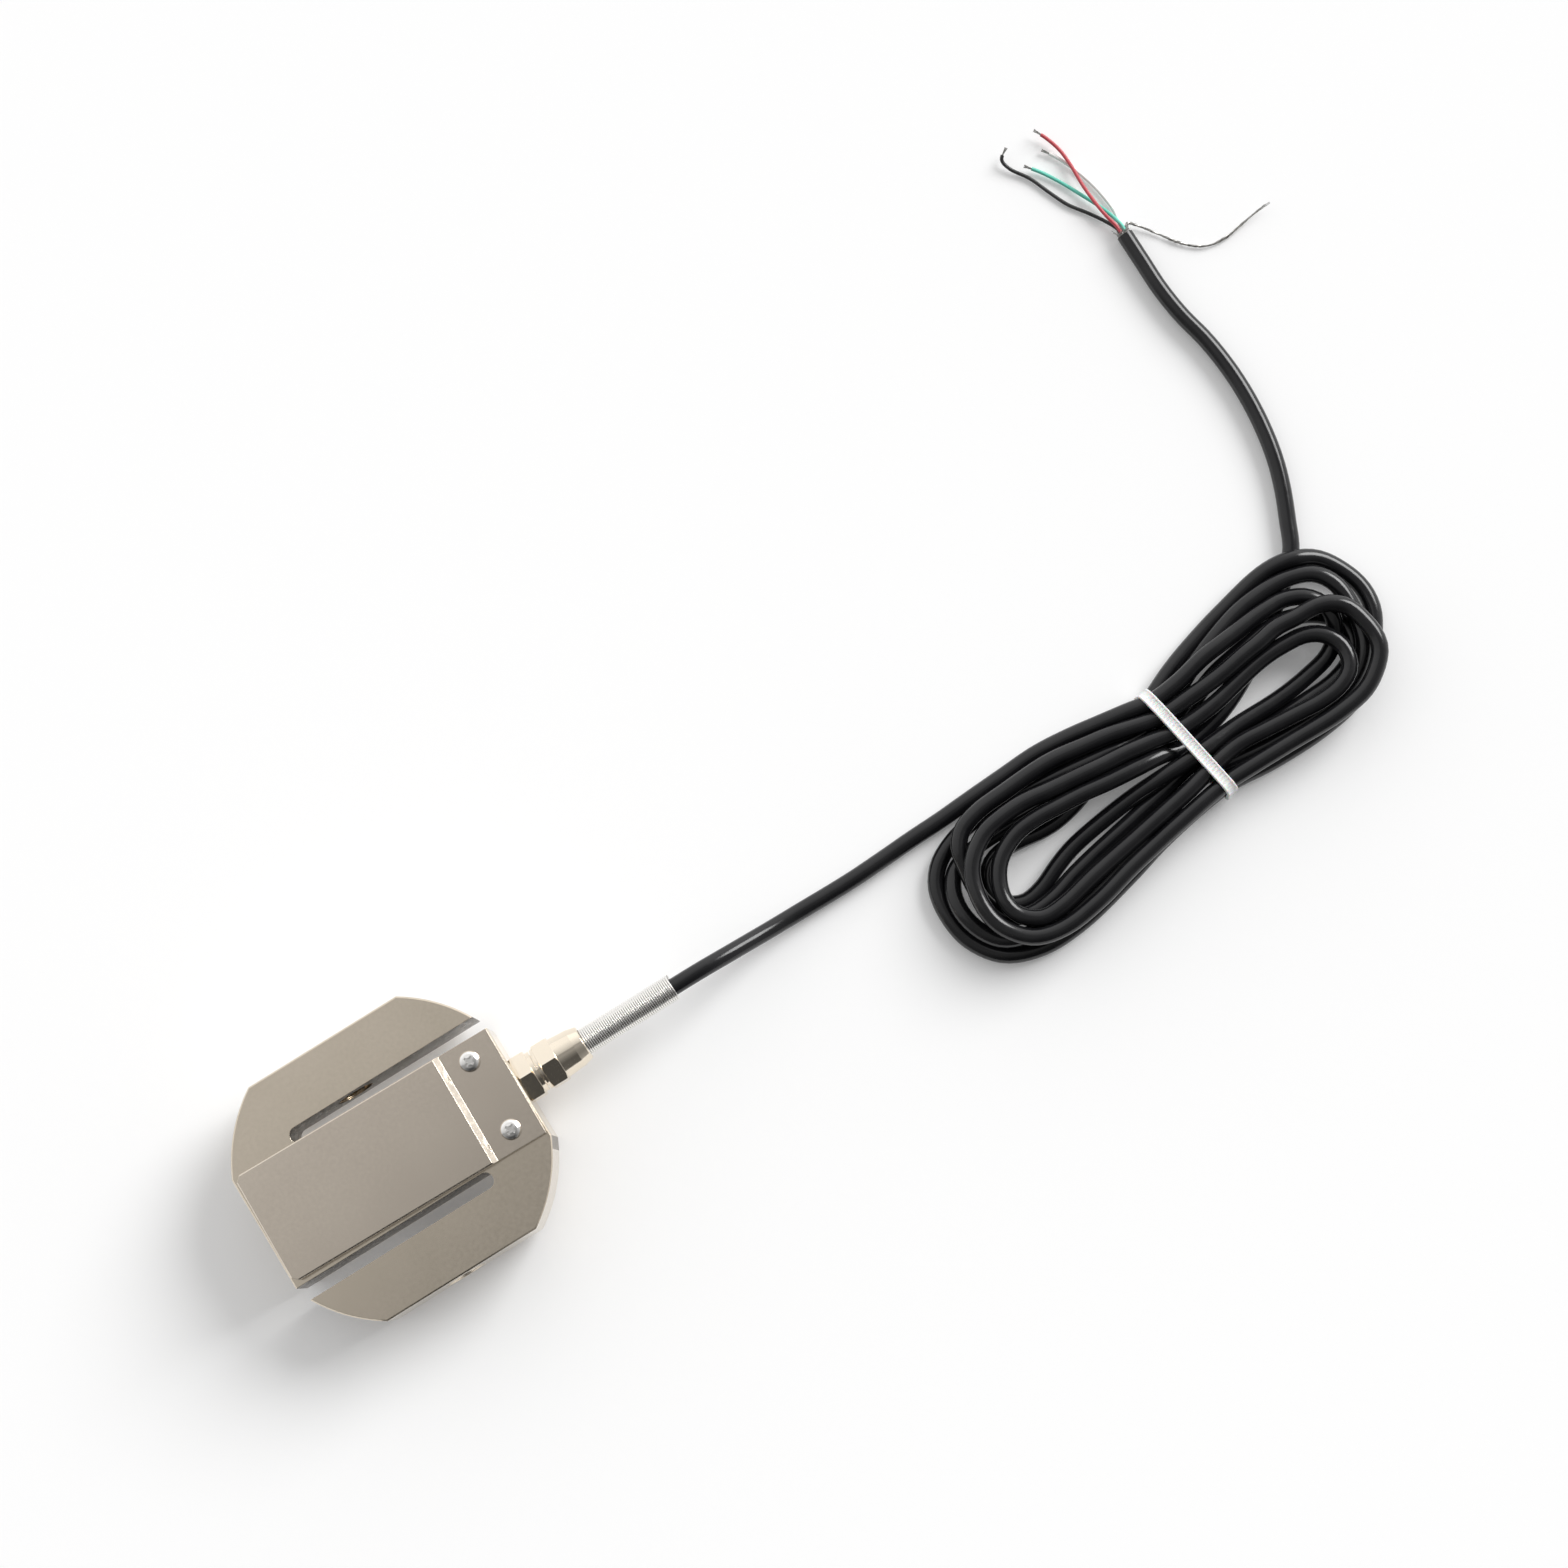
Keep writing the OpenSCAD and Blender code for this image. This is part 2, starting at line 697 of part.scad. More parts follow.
// Gland nut: round lip, hexagon and tapering cone around the spring
module gland_nut() {
    color([0.84, 0.81, 0.77])
        difference() {
            union() {
                bar_x(nut_x0, nut_hex_x + over, nut_hex_af - 0.4);
                hex_x(nut_hex_x, cone_x, nut_hex_af, hex_chamfer);
                translate([cone_x - over, 0, axis_z])
                    rotate([0, 90, 0])
                        rotate_extrude()
                            polygon([[0, 0], [cone_big_d / 2, 0], [cone_big_d / 2, over],
                                     [cone_big_d / 2 - 0.25, over + cone_l * 0.35],
                                     [(cone_big_d + cone_end_d) / 4 + 0.12, over + cone_l * 0.65],
                                     [cone_end_d / 2, over + cone_l - 0.3],
                                     [cone_end_d / 2 - 0.3, over + cone_l], [0, over + cone_l]]);
            }
            bar_x(nut_x0 - over, spigot_x1, spigot_d + 2 * fit_gap);
            bar_x(nut_x0, lip_x, grommet_d + 2 * fit_gap);
            bar_x(lip_x - over / 2, cone_x1 + over, spring_d + 2 * fit_gap);
        }
}

// Close-coiled spring: a sleeve with one round ridge for every coil
module spring_guard() {
    r = spring_d / 2;
    w = spring_wire_d / 2;
    steps = 6;
    ridges = [for (i = [0 : spring_coils - 1], k = [0 : steps - 1])
        let (a = 180 * (k + 0.5) / steps)
        [r - w + w * sin(a), (i + 0.5) * spring_pitch - w * cos(a)]];
    color([0.80, 0.79, 0.77])
        translate([lip_x, 0, axis_z])
            rotate([0, 90, 0])
                rotate_extrude($fn = 48)
                    polygon(concat([[spring_bore_d / 2, 0]], ridges,
                                   [[spring_bore_d / 2, spring_coils * spring_pitch]]));
}

// Cable from the gauge cavity's passage to the end of the spring
module cable_entry() {
    color([0.10, 0.10, 0.10])
        bar_x(entry_x0, spring_x1, cable_d);
}

// Free cable from the spring to the hank
module cable_lead() {
    color([0.10, 0.10, 0.10])
        tube([for (p = LEAD_ROUTE) p + [spring_x1, 0, axis_z]], cable_d, 12);
}

// Tied hank before its waist is nipped in: two lobes, the strands between them and two flats
module hank_blank() {
    half = hank_waist_w / 2 + tie_t;
    across = [-sin(hank_turn), cos(hank_turn)] * half;
    up_left = [0, lobe_left_r * 0.98];
    up_right = [0, lobe_right_r * 0.98];
    translate(LOBE_LEFT)
        cylinder(r = lobe_left_r, h = hank_h, $fn = 96);
    translate(LOBE_RIGHT)
        cylinder(r = lobe_right_r, h = hank_h, $fn = 96);
    linear_extrude(height = hank_h)
        polygon([LOBE_LEFT + up_left, WAIST + across, LOBE_RIGHT + up_right,
                 LOBE_RIGHT - up_right, WAIST - across, LOBE_LEFT - up_left]);
    translate([lead_flat_x, LEAD_ROUTE[len(LEAD_ROUTE) - 1][1] - lead_flat_w + cable_d, 0])
        cube([WAIST[0] - tie_w - lead_flat_x, lead_flat_w, hank_h]);
    translate([TAIL_ROUTE[0][0], TAIL_ROUTE[0][1], 0])
        rotate(tail_turn)
            translate([-tail_flat_l, -tail_flat_w / 2, 0])
                cube([tail_flat_l, tail_flat_w, hank_h]);
}

// Places its child in the tie's plane: x along the hank, z up
module at_tie() {
    translate([WAIST[0], WAIST[1], 0])
        rotate([0, 0, hank_turn])
            children();
}

// Rounded section of width w and height h, centred on the waist, extruded over length l
module waist_section(w, h, l) {
    translate([-l / 2, 0, hank_h / 2])
        rotate([90, 0, 90])
            union() {
                translate([0, 0, l / 2])
                    cube([w - h, h, l], center = true);
                translate([-(w - h) / 2, 0, 0])
                    cylinder(d = h, h = l);
                translate([(w - h) / 2, 0, 0])
                    cylinder(d = h, h = l);
            }
}

// Coiled cable folded into a hank, nipped in where the tie passes
module cable_hank() {
    color([0.10, 0.10, 0.10])
        difference() {
            hank_blank();
            at_tie()
                difference() {
                    translate([-tie_w / 2 - tie_slack, -body_d / 2, -over])
                        cube([tie_w + 2 * tie_slack, body_d, hank_h + 2 * over]);
                    waist_section(hank_waist_w, hank_h - 2 * tie_t, tie_w + over);
                }
            at_tie()
                translate([-tie_head_l / 2 - tie_slack, -tie_head_w / 2 - tie_slack, -over])
                    cube([tie_head_l + 2 * tie_slack, tie_head_w + 2 * tie_slack,
                          tie_head_h + tie_slack + over]);
        }
}

// Nylon tie around the waist of the hank, its head underneath
module cable_tie() {
    color([0.93, 0.93, 0.92])
        at_tie()
            difference() {
                union() {
                    waist_section(hank_waist_w + 2 * tie_t, hank_h, tie_w);
                    translate([-tie_head_l / 2, -tie_head_w / 2, 0])
                        cube([tie_head_l, tie_head_w, tie_head_h]);
                }
                difference() {
                    waist_section(hank_waist_w, hank_h - 2 * tie_t, tie_head_l + over);
                    translate([-tie_head_l, -tie_head_w / 2, 0])
                        cube([2 * tie_head_l, tie_head_w, tie_head_h]);
                }
            }
}

// Tail of the cable from the hank to the cut end of the jacket
module cable_tail() {
    color([0.10, 0.10, 0.10])
        tube(TAIL_ROUTE, cable_d, 12);
}

// Stub of the foil and braid shield at the cut end of the jacket
module shield_end() {
    end = TAIL_ROUTE[len(TAIL_ROUTE) - 1];
    color([0.75, 0.75, 0.77])
        translate(end)
            rotate([-90, 0, 0])
                cylinder(d = shield_d, h = shield_l, $fn = 24);
}

module core_red() {
    color([0.75, 0.10, 0.08])
        tube(RED_ROUTE, core_d, wire_sides);
}

module core_green() {
    color([0.10, 0.50, 0.40])
        tube(GREEN_ROUTE, core_d, wire_sides);
}

module core_white() {
    color([0.90, 0.90, 0.88])
        tube(WHITE_ROUTE, core_d, wire_sides);
}

module core_black() {
    color([0.08, 0.08, 0.08])
        tube(BLACK_ROUTE, core_d, wire_sides);
}

module drain_wire() {
    color([0.75, 0.75, 0.77])
        tube(DRAIN_ROUTE, drain_d, wire_sides);
}

s_body();
front_cover();
back_cover();
front_gasket();
back_gasket();
front_screws();
back_screws();
gauge(-1, 1);  // gauge_upper_left
gauge(1, 1);  // gauge_upper_right
gauge(-1, -1);  // gauge_lower_left
gauge(1, -1);  // gauge_lower_right
terminal_board();
solder_joints();
trim_resistors();
gauge_wires();
board_lead_red();
board_lead_green();
board_lead_white();
board_lead_black();
gland_body();
gland_seal();
gland_grommet();
gland_nut();
spring_guard();
cable_entry();
cable_lead();
cable_hank();
cable_tail();
cable_tie();
shield_end();
core_red();
core_green();
core_white();
core_black();
drain_wire();
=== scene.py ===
import math
import random

import bmesh
import bpy
import numpy as np
from mathutils import Matrix, Vector


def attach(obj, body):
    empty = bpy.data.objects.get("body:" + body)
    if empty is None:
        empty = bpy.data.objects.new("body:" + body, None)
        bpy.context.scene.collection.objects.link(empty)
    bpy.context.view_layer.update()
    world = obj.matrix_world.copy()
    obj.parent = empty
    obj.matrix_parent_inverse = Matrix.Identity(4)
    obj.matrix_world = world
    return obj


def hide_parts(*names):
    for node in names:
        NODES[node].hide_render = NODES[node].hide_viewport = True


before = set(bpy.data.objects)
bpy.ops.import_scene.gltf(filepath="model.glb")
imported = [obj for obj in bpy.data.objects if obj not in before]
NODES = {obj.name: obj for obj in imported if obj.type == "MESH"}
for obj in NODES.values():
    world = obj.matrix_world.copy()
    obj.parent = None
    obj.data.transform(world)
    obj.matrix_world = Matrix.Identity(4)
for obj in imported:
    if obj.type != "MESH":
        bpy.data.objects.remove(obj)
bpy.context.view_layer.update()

MM = 0.001
scene = bpy.context.scene
scene.view_settings.view_transform = "Standard"

# Sizes in millimetres, as in the part's source
CABLE_R = 2.5
CORE_R = 0.55
AXIS_Z = 14.4
JACKET_END = (319, 119, 2.5)

# Camera at the photograph's viewing angle
CAMERA_AT = Vector((0.10507, -0.09234, 1.00039))
CAMERA_RIGHT = Vector((0.84972, -0.52642, -0.02933))
CAMERA_DOWN = Vector((-0.52543, -0.84090, -0.12963))
CAMERA_FORWARD = Vector((0.04358, 0.12556, -0.99113))
SENSOR_WIDTH = 36
FOCAL_LENGTH = 80.357
VIEW_DEPTH = 50


def make_camera():
    data = bpy.data.cameras.new("camera")
    data.sensor_width = SENSOR_WIDTH
    data.lens = FOCAL_LENGTH
    data.clip_end = VIEW_DEPTH
    camera = bpy.data.objects.new("camera", data)
    scene.collection.objects.link(camera)
    axes = Matrix((CAMERA_RIGHT, -CAMERA_DOWN, -CAMERA_FORWARD)).transposed().to_4x4()
    camera.matrix_world = Matrix.Translation(CAMERA_AT) @ axes
    scene.camera = camera


make_camera()


# Route of the cable: straight out of the spring, along the surface and through the hank's turns
LEAD = [(91.85, 0, 14.4), (96.85, 0, 14.4), (101.85, 0, 13.8), (107.85, 0, 12), (114.85, 0.1, 9),
        (121.85, 0.2, 6), (128.85, 0.3, 3.8), (135.85, 0.3, 2.8), (142.85, 0.2, 2.5),
        (151.85, 0.2, 2.5), (161.85, 0.6, 2.5), (171.85, 1.1, 2.5), (181.85, 1.4, 2.5),
        (191.85, 2, 2.5), (203.85, 2.6, 2.5), (214.7, 3, 3.2), (225, 2, 4.6),
        (235.1, 0.2, 6.6), (242.5, -1.2, 8.2)]
TAIL = [(309, 14, 2.5), (313, 22, 2.5), (317, 31, 2.5), (320, 40, 2.5), (322, 50, 2.5),
        (323, 60, 2.5), (323, 70, 2.5), (322, 80, 2.5), (320, 90, 2.5), (319, 100, 2.5),
        (319, 110, 2.5), JACKET_END]
# Where the last strand comes out of the tie and dips below the right-hand turns
TAIL_START = [(266, -14.8, 3), (278, -9.5, 2.5), (290, -2, 2.5), (301, 6.5, 2.5)]

# Each turn from its strand on the +Y side to its strand on the -Y side
RIGHT = {
    1: [(260.4, 2.8, 3.6), (273.9, 6.9, 2.8), (282.4, 8.9, 3), (297.8, 11.5, 5.5), (306, 10.8, 7),
        (313.6, 7.4, 5), (318.9, -0.6, 3), (320.3, -6.4, 2.5), (319.4, -12.4, 2.5),
        (316, -18, 2.5), (310.2, -24.8, 2.5), (301.6, -30.2, 2.5), (288, -32.9, 2.5),
        (272, -33.5, 2.8)],
    2: [(266, 0.2, 5.5), (277, 4.1, 6.5), (285.9, 6.9, 7), (292.5, 8, 7), (299.4, 8.3, 7),
        (305.2, 7.3, 7), (309.8, 5.1, 7), (312.6, 1.5, 7), (313.9, -2.8, 7), (313.9, -7.6, 6.5),
        (312.9, -15, 6), (310, -21.5, 6), (303.5, -27.2, 5.5), (295, -30, 5), (284, -31, 4.5),
        (270, -30.5, 4)],
    3: [(259.6, -1.5, 9.5), (269, 0.8, 9.5), (275.3, 1.6, 9), (282.8, 2.3, 8.5), (290.4, 2.9, 8),
        (297.2, 3.1, 7.5), (300.9, 2.2, 7.3), (304.4, 0.3, 7.5), (307.2, -3.2, 7.5),
        (308.2, -8, 7.3), (306.4, -12.8, 5.6), (301.5, -17, 4.2), (293, -19.2, 4),
        (283, -20.5, 4.5), (267, -21, 6.5)],
    4: [(258.6, -7.7, 10), (272.2, -7, 10.8), (280.4, -5.8, 11), (285, -5.2, 11),
        (291.5, -3.9, 11), (297.6, -4.3, 11), (304.1, -4.4, 11), (308.2, -5.8, 11),
        (311.9, -9.2, 11), (313.8, -15.4, 11), (314.2, -20.4, 11), (312.9, -24.6, 11),
        (304.7, -31.2, 11), (293.8, -33.3, 11), (276.3, -33.1, 10.5), (264, -32.9, 9.8)],
    5: [(264, -12.2, 9.8), (279.6, -8.6, 9.5), (286, -7.9, 9.2), (292, -8.1, 9),
        (297.6, -8.9, 9), (302.2, -11.6, 9), (304.9, -15.8, 9), (305.3, -20.4, 9),
        (303.2, -24.8, 9), (298, -27.4, 9), (290.9, -28, 9), (284.5, -27.5, 9),
        (274, -26.6, 9), (264.5, -26, 9)],
    6: [(262, -7.5, 4.2), (270, -4.5, 5.2), (278, -3, 6.2), (284, -2.2, 6.8), (290, -1.6, 7),
        (296, -2, 5.6), (302, -4, 3.6), (306.8, -7.4, 2.5), (309.8, -12, 2.5),
        (309.6, -17.2, 2.5), (305.8, -21.9, 2.5), (298.5, -24.5, 2.5), (289, -25, 2.5),
        (278, -25, 2.5), (268, -24.5, 2.8)],
}
LEFT = {
    1: [(240, -8.6, 5), (230, -8, 6.8), (218, -6, 5.5), (205, -4, 3), (190, -4, 2.5),
        (181, -6, 2.5), (174.3, -9.8, 2.5), (170.2, -16, 2.5), (169, -24.9, 2.5),
        (170.4, -32.6, 2.5), (176.4, -41, 2.5), (186.9, -45, 2.5), (200, -44.8, 2.5),
        (219, -40.6, 3), (232, -37, 3.5)],
    2: [(238.2, -5.6, 9), (228, -3.9, 8.8), (216.1, -1.9, 8.5), (200.4, -2.2, 8), (191, -2.8, 7.5),
        (184.5, -5, 7.5), (181, -9, 7.5), (179.8, -15, 6.5), (179, -21, 6.2), (179.8, -27.5, 6.2),
        (183.2, -33, 6), (189, -35.4, 5.5), (197, -34.8, 5), (205, -32.4, 4.2), (212.5, -30.6, 4),
        (224.5, -28.2, 4), (238, -25.5, 4)],
    3: [(242, -12, 10), (235, -11.1, 10.6), (227.5, -10.6, 11), (219, -9.6, 11), (210.8, -8.6, 11),
        (203, -7.6, 11), (195, -8, 11), (188.7, -9.4, 11), (181, -15.4, 11), (178, -24.9, 11),
        (179.1, -33.8, 11), (185.3, -41.4, 11), (194.2, -43.8, 11), (207, -42.4, 11),
        (219.6, -39.2, 10.8), (230.4, -36.9, 10.4), (240.5, -34.9, 9.8)],
    4: [(244, -16, 8), (236.7, -15.6, 10), (228, -14.9, 10.8), (219.9, -13.9, 11),
        (211.7, -13.4, 11), (203.5, -13.1, 11), (196.3, -14.1, 11), (188.4, -18.8, 11),
        (184.3, -26.9, 11), (185.2, -33.6, 11), (190.6, -38.2, 11), (197.7, -38.4, 11),
        (209.6, -36, 11), (229.5, -32.8, 10.4), (244.8, -30.2, 9.6)],
    5: [(240, -4, 3), (230, -9, 2.6), (220, -13.9, 2.5), (210, -16.3, 2.5), (204, -16.4, 2.5),
        (198, -15.6, 2.5), (191.8, -15.4, 2.5), (186.8, -17, 2.5), (183.8, -20.6, 2.5),
        (183.1, -25, 2.5), (184.9, -29.1, 2.5), (189.4, -31.5, 2.5), (195.8, -30.6, 2.5),
        (203, -27.6, 2.5), (210, -25.4, 2.8), (228.2, -23.1, 4.5), (240, -22.8, 7)],
    6: [(238, -12.4, 5), (226, -11.6, 6), (215, -11, 4.5), (205, -10.6, 3), (195, -10.2, 2.5),
        (186, -10.6, 2.5), (179.5, -12.2, 2.8), (175.5, -14.8, 4), (173, -19, 5.5),
        (172.2, -24.6, 6.3), (173.8, -31.5, 6.3), (178, -37.2, 6), (185, -39.8, 6),
        (194, -40, 5.5), (204, -38.6, 4.5), (215, -36.2, 4), (226, -33.8, 4), (238, -30.8, 4)],
}
# Strands under the tie in the cable's order: place across, height, and the turn that follows
STRANDS = [(15.2, 9.0, RIGHT[3]), (-5.0, 8.8, LEFT[5]), (16.4, 3.9, RIGHT[1]),
           (-16.0, 3.9, LEFT[1]), (10.6, 3.9, RIGHT[2]), (-10.4, 3.9, LEFT[6]),
           (5.3, 3.9, RIGHT[6]), (-5.3, 3.9, LEFT[2]), (9.8, 9.2, RIGHT[4]),
           (-15.6, 9.0, LEFT[3]), (4.4, 9.3, RIGHT[5]), (-10.4, 9.1, LEFT[4]), (0, 3.9, None)]

# The tie's plane: its middle, the direction along the hank and the one across it, and the room
# that it leaves the strands
TIE_AT = np.array([252.5, -17.5])
TIE_TURN = math.radians(10)
ALONG = np.array([math.cos(TIE_TURN), math.sin(TIE_TURN)])
ACROSS = np.array([-math.sin(TIE_TURN), math.cos(TIE_TURN)])
TIE_HALF = 16.5
TIE_LOW = 3.8
TIE_HIGH = 10.2
TIE_REACH = 3.0

# Distance between the cable's points, and fine steps between two points of its route
STEP = 2.0
CURVE_STEPS = 24

# Rounds that move strands apart; in the late ones they are smoothed less and not pulled back
ROUNDS = 400
LATE_AFTER = 0.85
SMOOTHINGS = 3
SMOOTH_SHARE = 0.5
KEPT_SHIFT = 0.995
PUSHES = 3
PUSH_FACTOR = 1.3
SEARCH_EVERY = 5
SEARCH_MARGIN = 2
CLEARANCE = 0.03
# Contact counts from this many cable radii apart along the route
CONTACT_FROM = 6.4
# Points over which the ends come free, and the share of them that stays fixed
END_POINTS = 12
END_FIXED = 0.2


def cable_route():
    points = list(LEAD)
    for across, height, turn in STRANDS:
        place = TIE_AT + ACROSS * across
        points.append((place[0], place[1], height))
        if turn:
            points += turn if across > 0 else turn[::-1]
    return points + TAIL_START + TAIL


def resample(points, step):
    """The same line with points an even step apart."""
    p = np.array(points, float)
    s = np.concatenate([[0], np.cumsum(np.linalg.norm(np.diff(p, axis=0), axis=1))])
    t = np.linspace(0, s[-1], max(2, int(round(s[-1] / step)) + 1))
    return np.stack([np.interp(t, s, p[:, k]) for k in range(3)], axis=1)


def spline(points, step):
    """Points a step apart on a centripetal Catmull-Rom curve."""
    p = np.array(points, float)
    p = np.vstack([2 * p[0] - p[1], p, 2 * p[-1] - p[-2]])
    out = []
    for i in range(1, len(p) - 2):
        p0, p1, p2, p3 = p[i - 1:i + 3]
        t1 = np.linalg.norm(p1 - p0) ** 0.5
        t2 = t1 + np.linalg.norm(p2 - p1) ** 0.5
        t3 = t2 + np.linalg.norm(p3 - p2) ** 0.5
        for t in np.linspace(t1, t2, CURVE_STEPS, endpoint=False):
            a1 = p0 * (t1 - t) / t1 + p1 * t / t1
            a2 = p1 * (t2 - t) / (t2 - t1) + p2 * (t - t1) / (t2 - t1)
            a3 = p2 * (t3 - t) / (t3 - t2) + p3 * (t - t2) / (t3 - t2)
            b1 = a1 * (t2 - t) / t2 + a2 * t / t2
            b2 = a2 * (t3 - t) / (t3 - t1) + a3 * (t - t1) / (t3 - t1)
            out.append(b1 * (t2 - t) / (t2 - t1) + b2 * (t - t1) / (t2 - t1))
    out.append(p[-2])
    return resample(out, step)


def tie_axes(points):
    """Distances of points from the tie's middle, along the hank and across it."""
    flat = points[:, :2] - TIE_AT
    return flat @ ALONG, flat @ ACROSS


def relax(target):
    """Moves a route's points apart until the cable clears itself, the tie and the surface."""
    shift = np.zeros_like(target)
    n = len(target)
    apart = math.ceil(CONTACT_FROM * CABLE_R / STEP)
    d = 2 * CABLE_R + CLEARANCE
    end = np.minimum(np.arange(n), n - 1 - np.arange(n))
    free = np.clip(end / END_POINTS - END_FIXED, 0, 1)[:, None]
    for r in range(ROUNDS):
        late = r > ROUNDS * LATE_AFTER
        for _ in range(1 if late else SMOOTHINGS):
            middle = (shift[:-2] + shift[2:]) / 2
            shift[1:-1] += SMOOTH_SHARE * (middle - shift[1:-1])
        shift *= free * (1 if late else KEPT_SHIFT)
        p = target + shift
        for _ in range(PUSHES):
            if r % SEARCH_EVERY == 0:
                dist2 = ((p[:, None, :] - p[None, :, :]) ** 2).sum(-1)
                i, j = np.nonzero(np.triu(dist2 < (d + SEARCH_MARGIN) ** 2, apart))
            v = p[i] - p[j]
            dist = np.linalg.norm(v, axis=1)
            push = np.where(dist < d, (d - dist) / 2, 0)
            v = v / np.maximum(dist, 1e-6)[:, None] * push[:, None]
            move = np.zeros_like(p)
            hits = np.zeros(n)
            np.add.at(move, i, v)
            np.add.at(move, j, -v)
            np.add.at(hits, i[push > 0], 1)
            np.add.at(hits, j[push > 0], 1)
            p = p + move / np.maximum(hits, 1)[:, None] * PUSH_FACTOR * (free > 0)
            along, across = tie_axes(p)
            inside = np.abs(along) < TIE_REACH
            half = np.where(inside, TIE_HALF, np.inf)
            p[:, :2] += (np.clip(across, -half, half) - across)[:, None] * ACROSS
            p[inside, 2] = np.clip(p[inside, 2], TIE_LOW, TIE_HIGH)
            p[:, 2] = np.maximum(p[:, 2], CABLE_R)
        shift = p - target
    return resample(target + shift, STEP)


def length_of(points):
    return float(np.linalg.norm(np.diff(points, axis=0), axis=1).sum())


def link(name, data):
    """New object at the frame's origin, riding on the one body."""
    obj = bpy.data.objects.new(name, data)
    scene.collection.objects.link(obj)
    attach(obj, "root")
    return obj


cable_line = relax(spline(cable_route(), STEP))


# Mesh helpers; points come in millimetres
CABLE_SIDES = 20
SHARP_ANGLE = 35


def mesh_object(name, verts, faces):
    mesh = bpy.data.meshes.new(name)
    mesh.from_pydata([tuple(v * MM) for v in np.asarray(verts, float)], [], faces)
    mesh.validate()
    bm = bmesh.new()
    bm.from_mesh(mesh)
    bmesh.ops.recalc_face_normals(bm, faces=bm.faces)
    bm.to_mesh(mesh)
    bm.free()
    obj = link(name, mesh)
    smooth_by_angle(obj)
    return obj


def smooth_by_angle(obj, angle=SHARP_ANGLE):
    """Smooth shading with sharp edges where two faces meet at more than the angle."""
    bm = bmesh.new()
    bm.from_mesh(obj.data)
    for face in bm.faces:
        face.smooth = True
    for edge in bm.edges:
        if len(edge.link_faces) == 2:
            edge.smooth = edge.calc_face_angle(0) < math.radians(angle)
    bm.to_mesh(obj.data)
    bm.free()


def frames(points):
    """Unit side and up vectors along a line, carried along it without twist."""
    p = np.asarray(points, float)
    t = np.gradient(p, axis=0)
    t /= np.linalg.norm(t, axis=1)[:, None]
    side = np.cross(t[0], (0, 0, 1))
    if np.linalg.norm(side) < 1e-3:
        side = np.cross(t[0], (0, 1, 0))
    sides = []
    for k in range(len(p)):
        side = side - t[k] * side.dot(t[k])
        side = side / np.linalg.norm(side)
        sides.append(side)
    sides = np.array(sides)
    return sides, np.cross(sides, t)


def band(low, high, sides):
    """Faces between two rings of vertices; low and high are the rings' first numbers."""
    faces = []
    for k in range(sides):
        k1 = (k + 1) % sides
        faces.append((low + k, low + k1, high + k1, high + k))
    return faces


def cap(first, sides):
    """One face over a ring of vertices."""
    return tuple(first + k for k in range(sides))


def tube(points, radius, sides, first):
    """Vertices and faces of a capped tube; radius is a number or one for each point."""
    p = np.asarray(points, float)
    r = np.broadcast_to(radius, (len(p),))
    side, up = frames(p)
    a = np.arange(sides) * 2 * math.pi / sides
    ring = (np.cos(a)[None, :, None] * side[:, None] + np.sin(a)[None, :, None] * up[:, None])
    verts = (p[:, None] + ring * r[:, None, None]).reshape(-1, 3)
    last = first + (len(p) - 1) * sides
    faces = []
    for row in range(first, last, sides):
        faces += band(row, row + sides, sides)
    faces.append(cap(first, sides)[::-1])
    faces.append(cap(last, sides))
    return verts, faces


def tubes_object(name, lines):
    """One mesh of several tubes; each line is (points, radius, sides)."""
    verts = []
    faces = []
    for points, radius, sides in lines:
        v, f = tube(points, radius, sides, len(verts))
        verts += list(v)
        faces += f
    return mesh_object(name, verts, faces)


def make_cable():
    cable = tubes_object("cable", [(cable_line, CABLE_R, CABLE_SIDES)])
    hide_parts("cable_lead", "cable_hank", "cable_tail")
    return cable


cable = make_cable()


# Materials; lengths are in metres, and a noise's scale is its number of spots in a metre
NOISE_DARK = 0.3
NOISE_LIGHT = 0.7
METAL_CLOUDS = 45
METAL_WAVES = 60
METAL_WAVE_DEPTH = 0.0004
METAL_WAVE_STRENGTH = 0.02
FOIL_LINES = 900
EDGE_SAMPLES = 6
SOFT_DEPTH = 0.001


def new_material(name):
    material = bpy.data.materials.new(name)
    material.use_nodes = True
    tree = material.node_tree
    return material, tree.nodes, tree.links, tree.nodes["Principled BSDF"]


def object_noise(nodes, links, scale, detail=3):
    """Noise over the object's own coordinates; returns its grey output."""
    place = nodes.new("ShaderNodeTexCoord")
    noise = nodes.new("ShaderNodeTexNoise")
    noise.inputs["Scale"].default_value = scale
    noise.inputs["Detail"].default_value = detail
    links.new(place.outputs["Object"], noise.inputs["Vector"])
    return noise.outputs["Fac"]


def ramp(nodes, links, source, low, high, start=NOISE_DARK, stop=NOISE_LIGHT):
    """Colours from low to high over a grey source."""
    node = nodes.new("ShaderNodeValToRGB")
    node.color_ramp.elements[0].position = start
    node.color_ramp.elements[0].color = (*low, 1)
    node.color_ramp.elements[1].position = stop
    node.color_ramp.elements[1].color = (*high, 1)
    links.new(source, node.inputs["Fac"])
    return node.outputs["Color"]


def span(nodes, links, source, low, high):
    """A grey source spread from low to high."""
    node = nodes.new("ShaderNodeMapRange")
    node.inputs["From Min"].default_value = NOISE_DARK
    node.inputs["From Max"].default_value = NOISE_LIGHT
    node.inputs["To Min"].default_value = low
    node.inputs["To Max"].default_value = high
    links.new(source, node.inputs["Value"])
    return node.outputs["Result"]


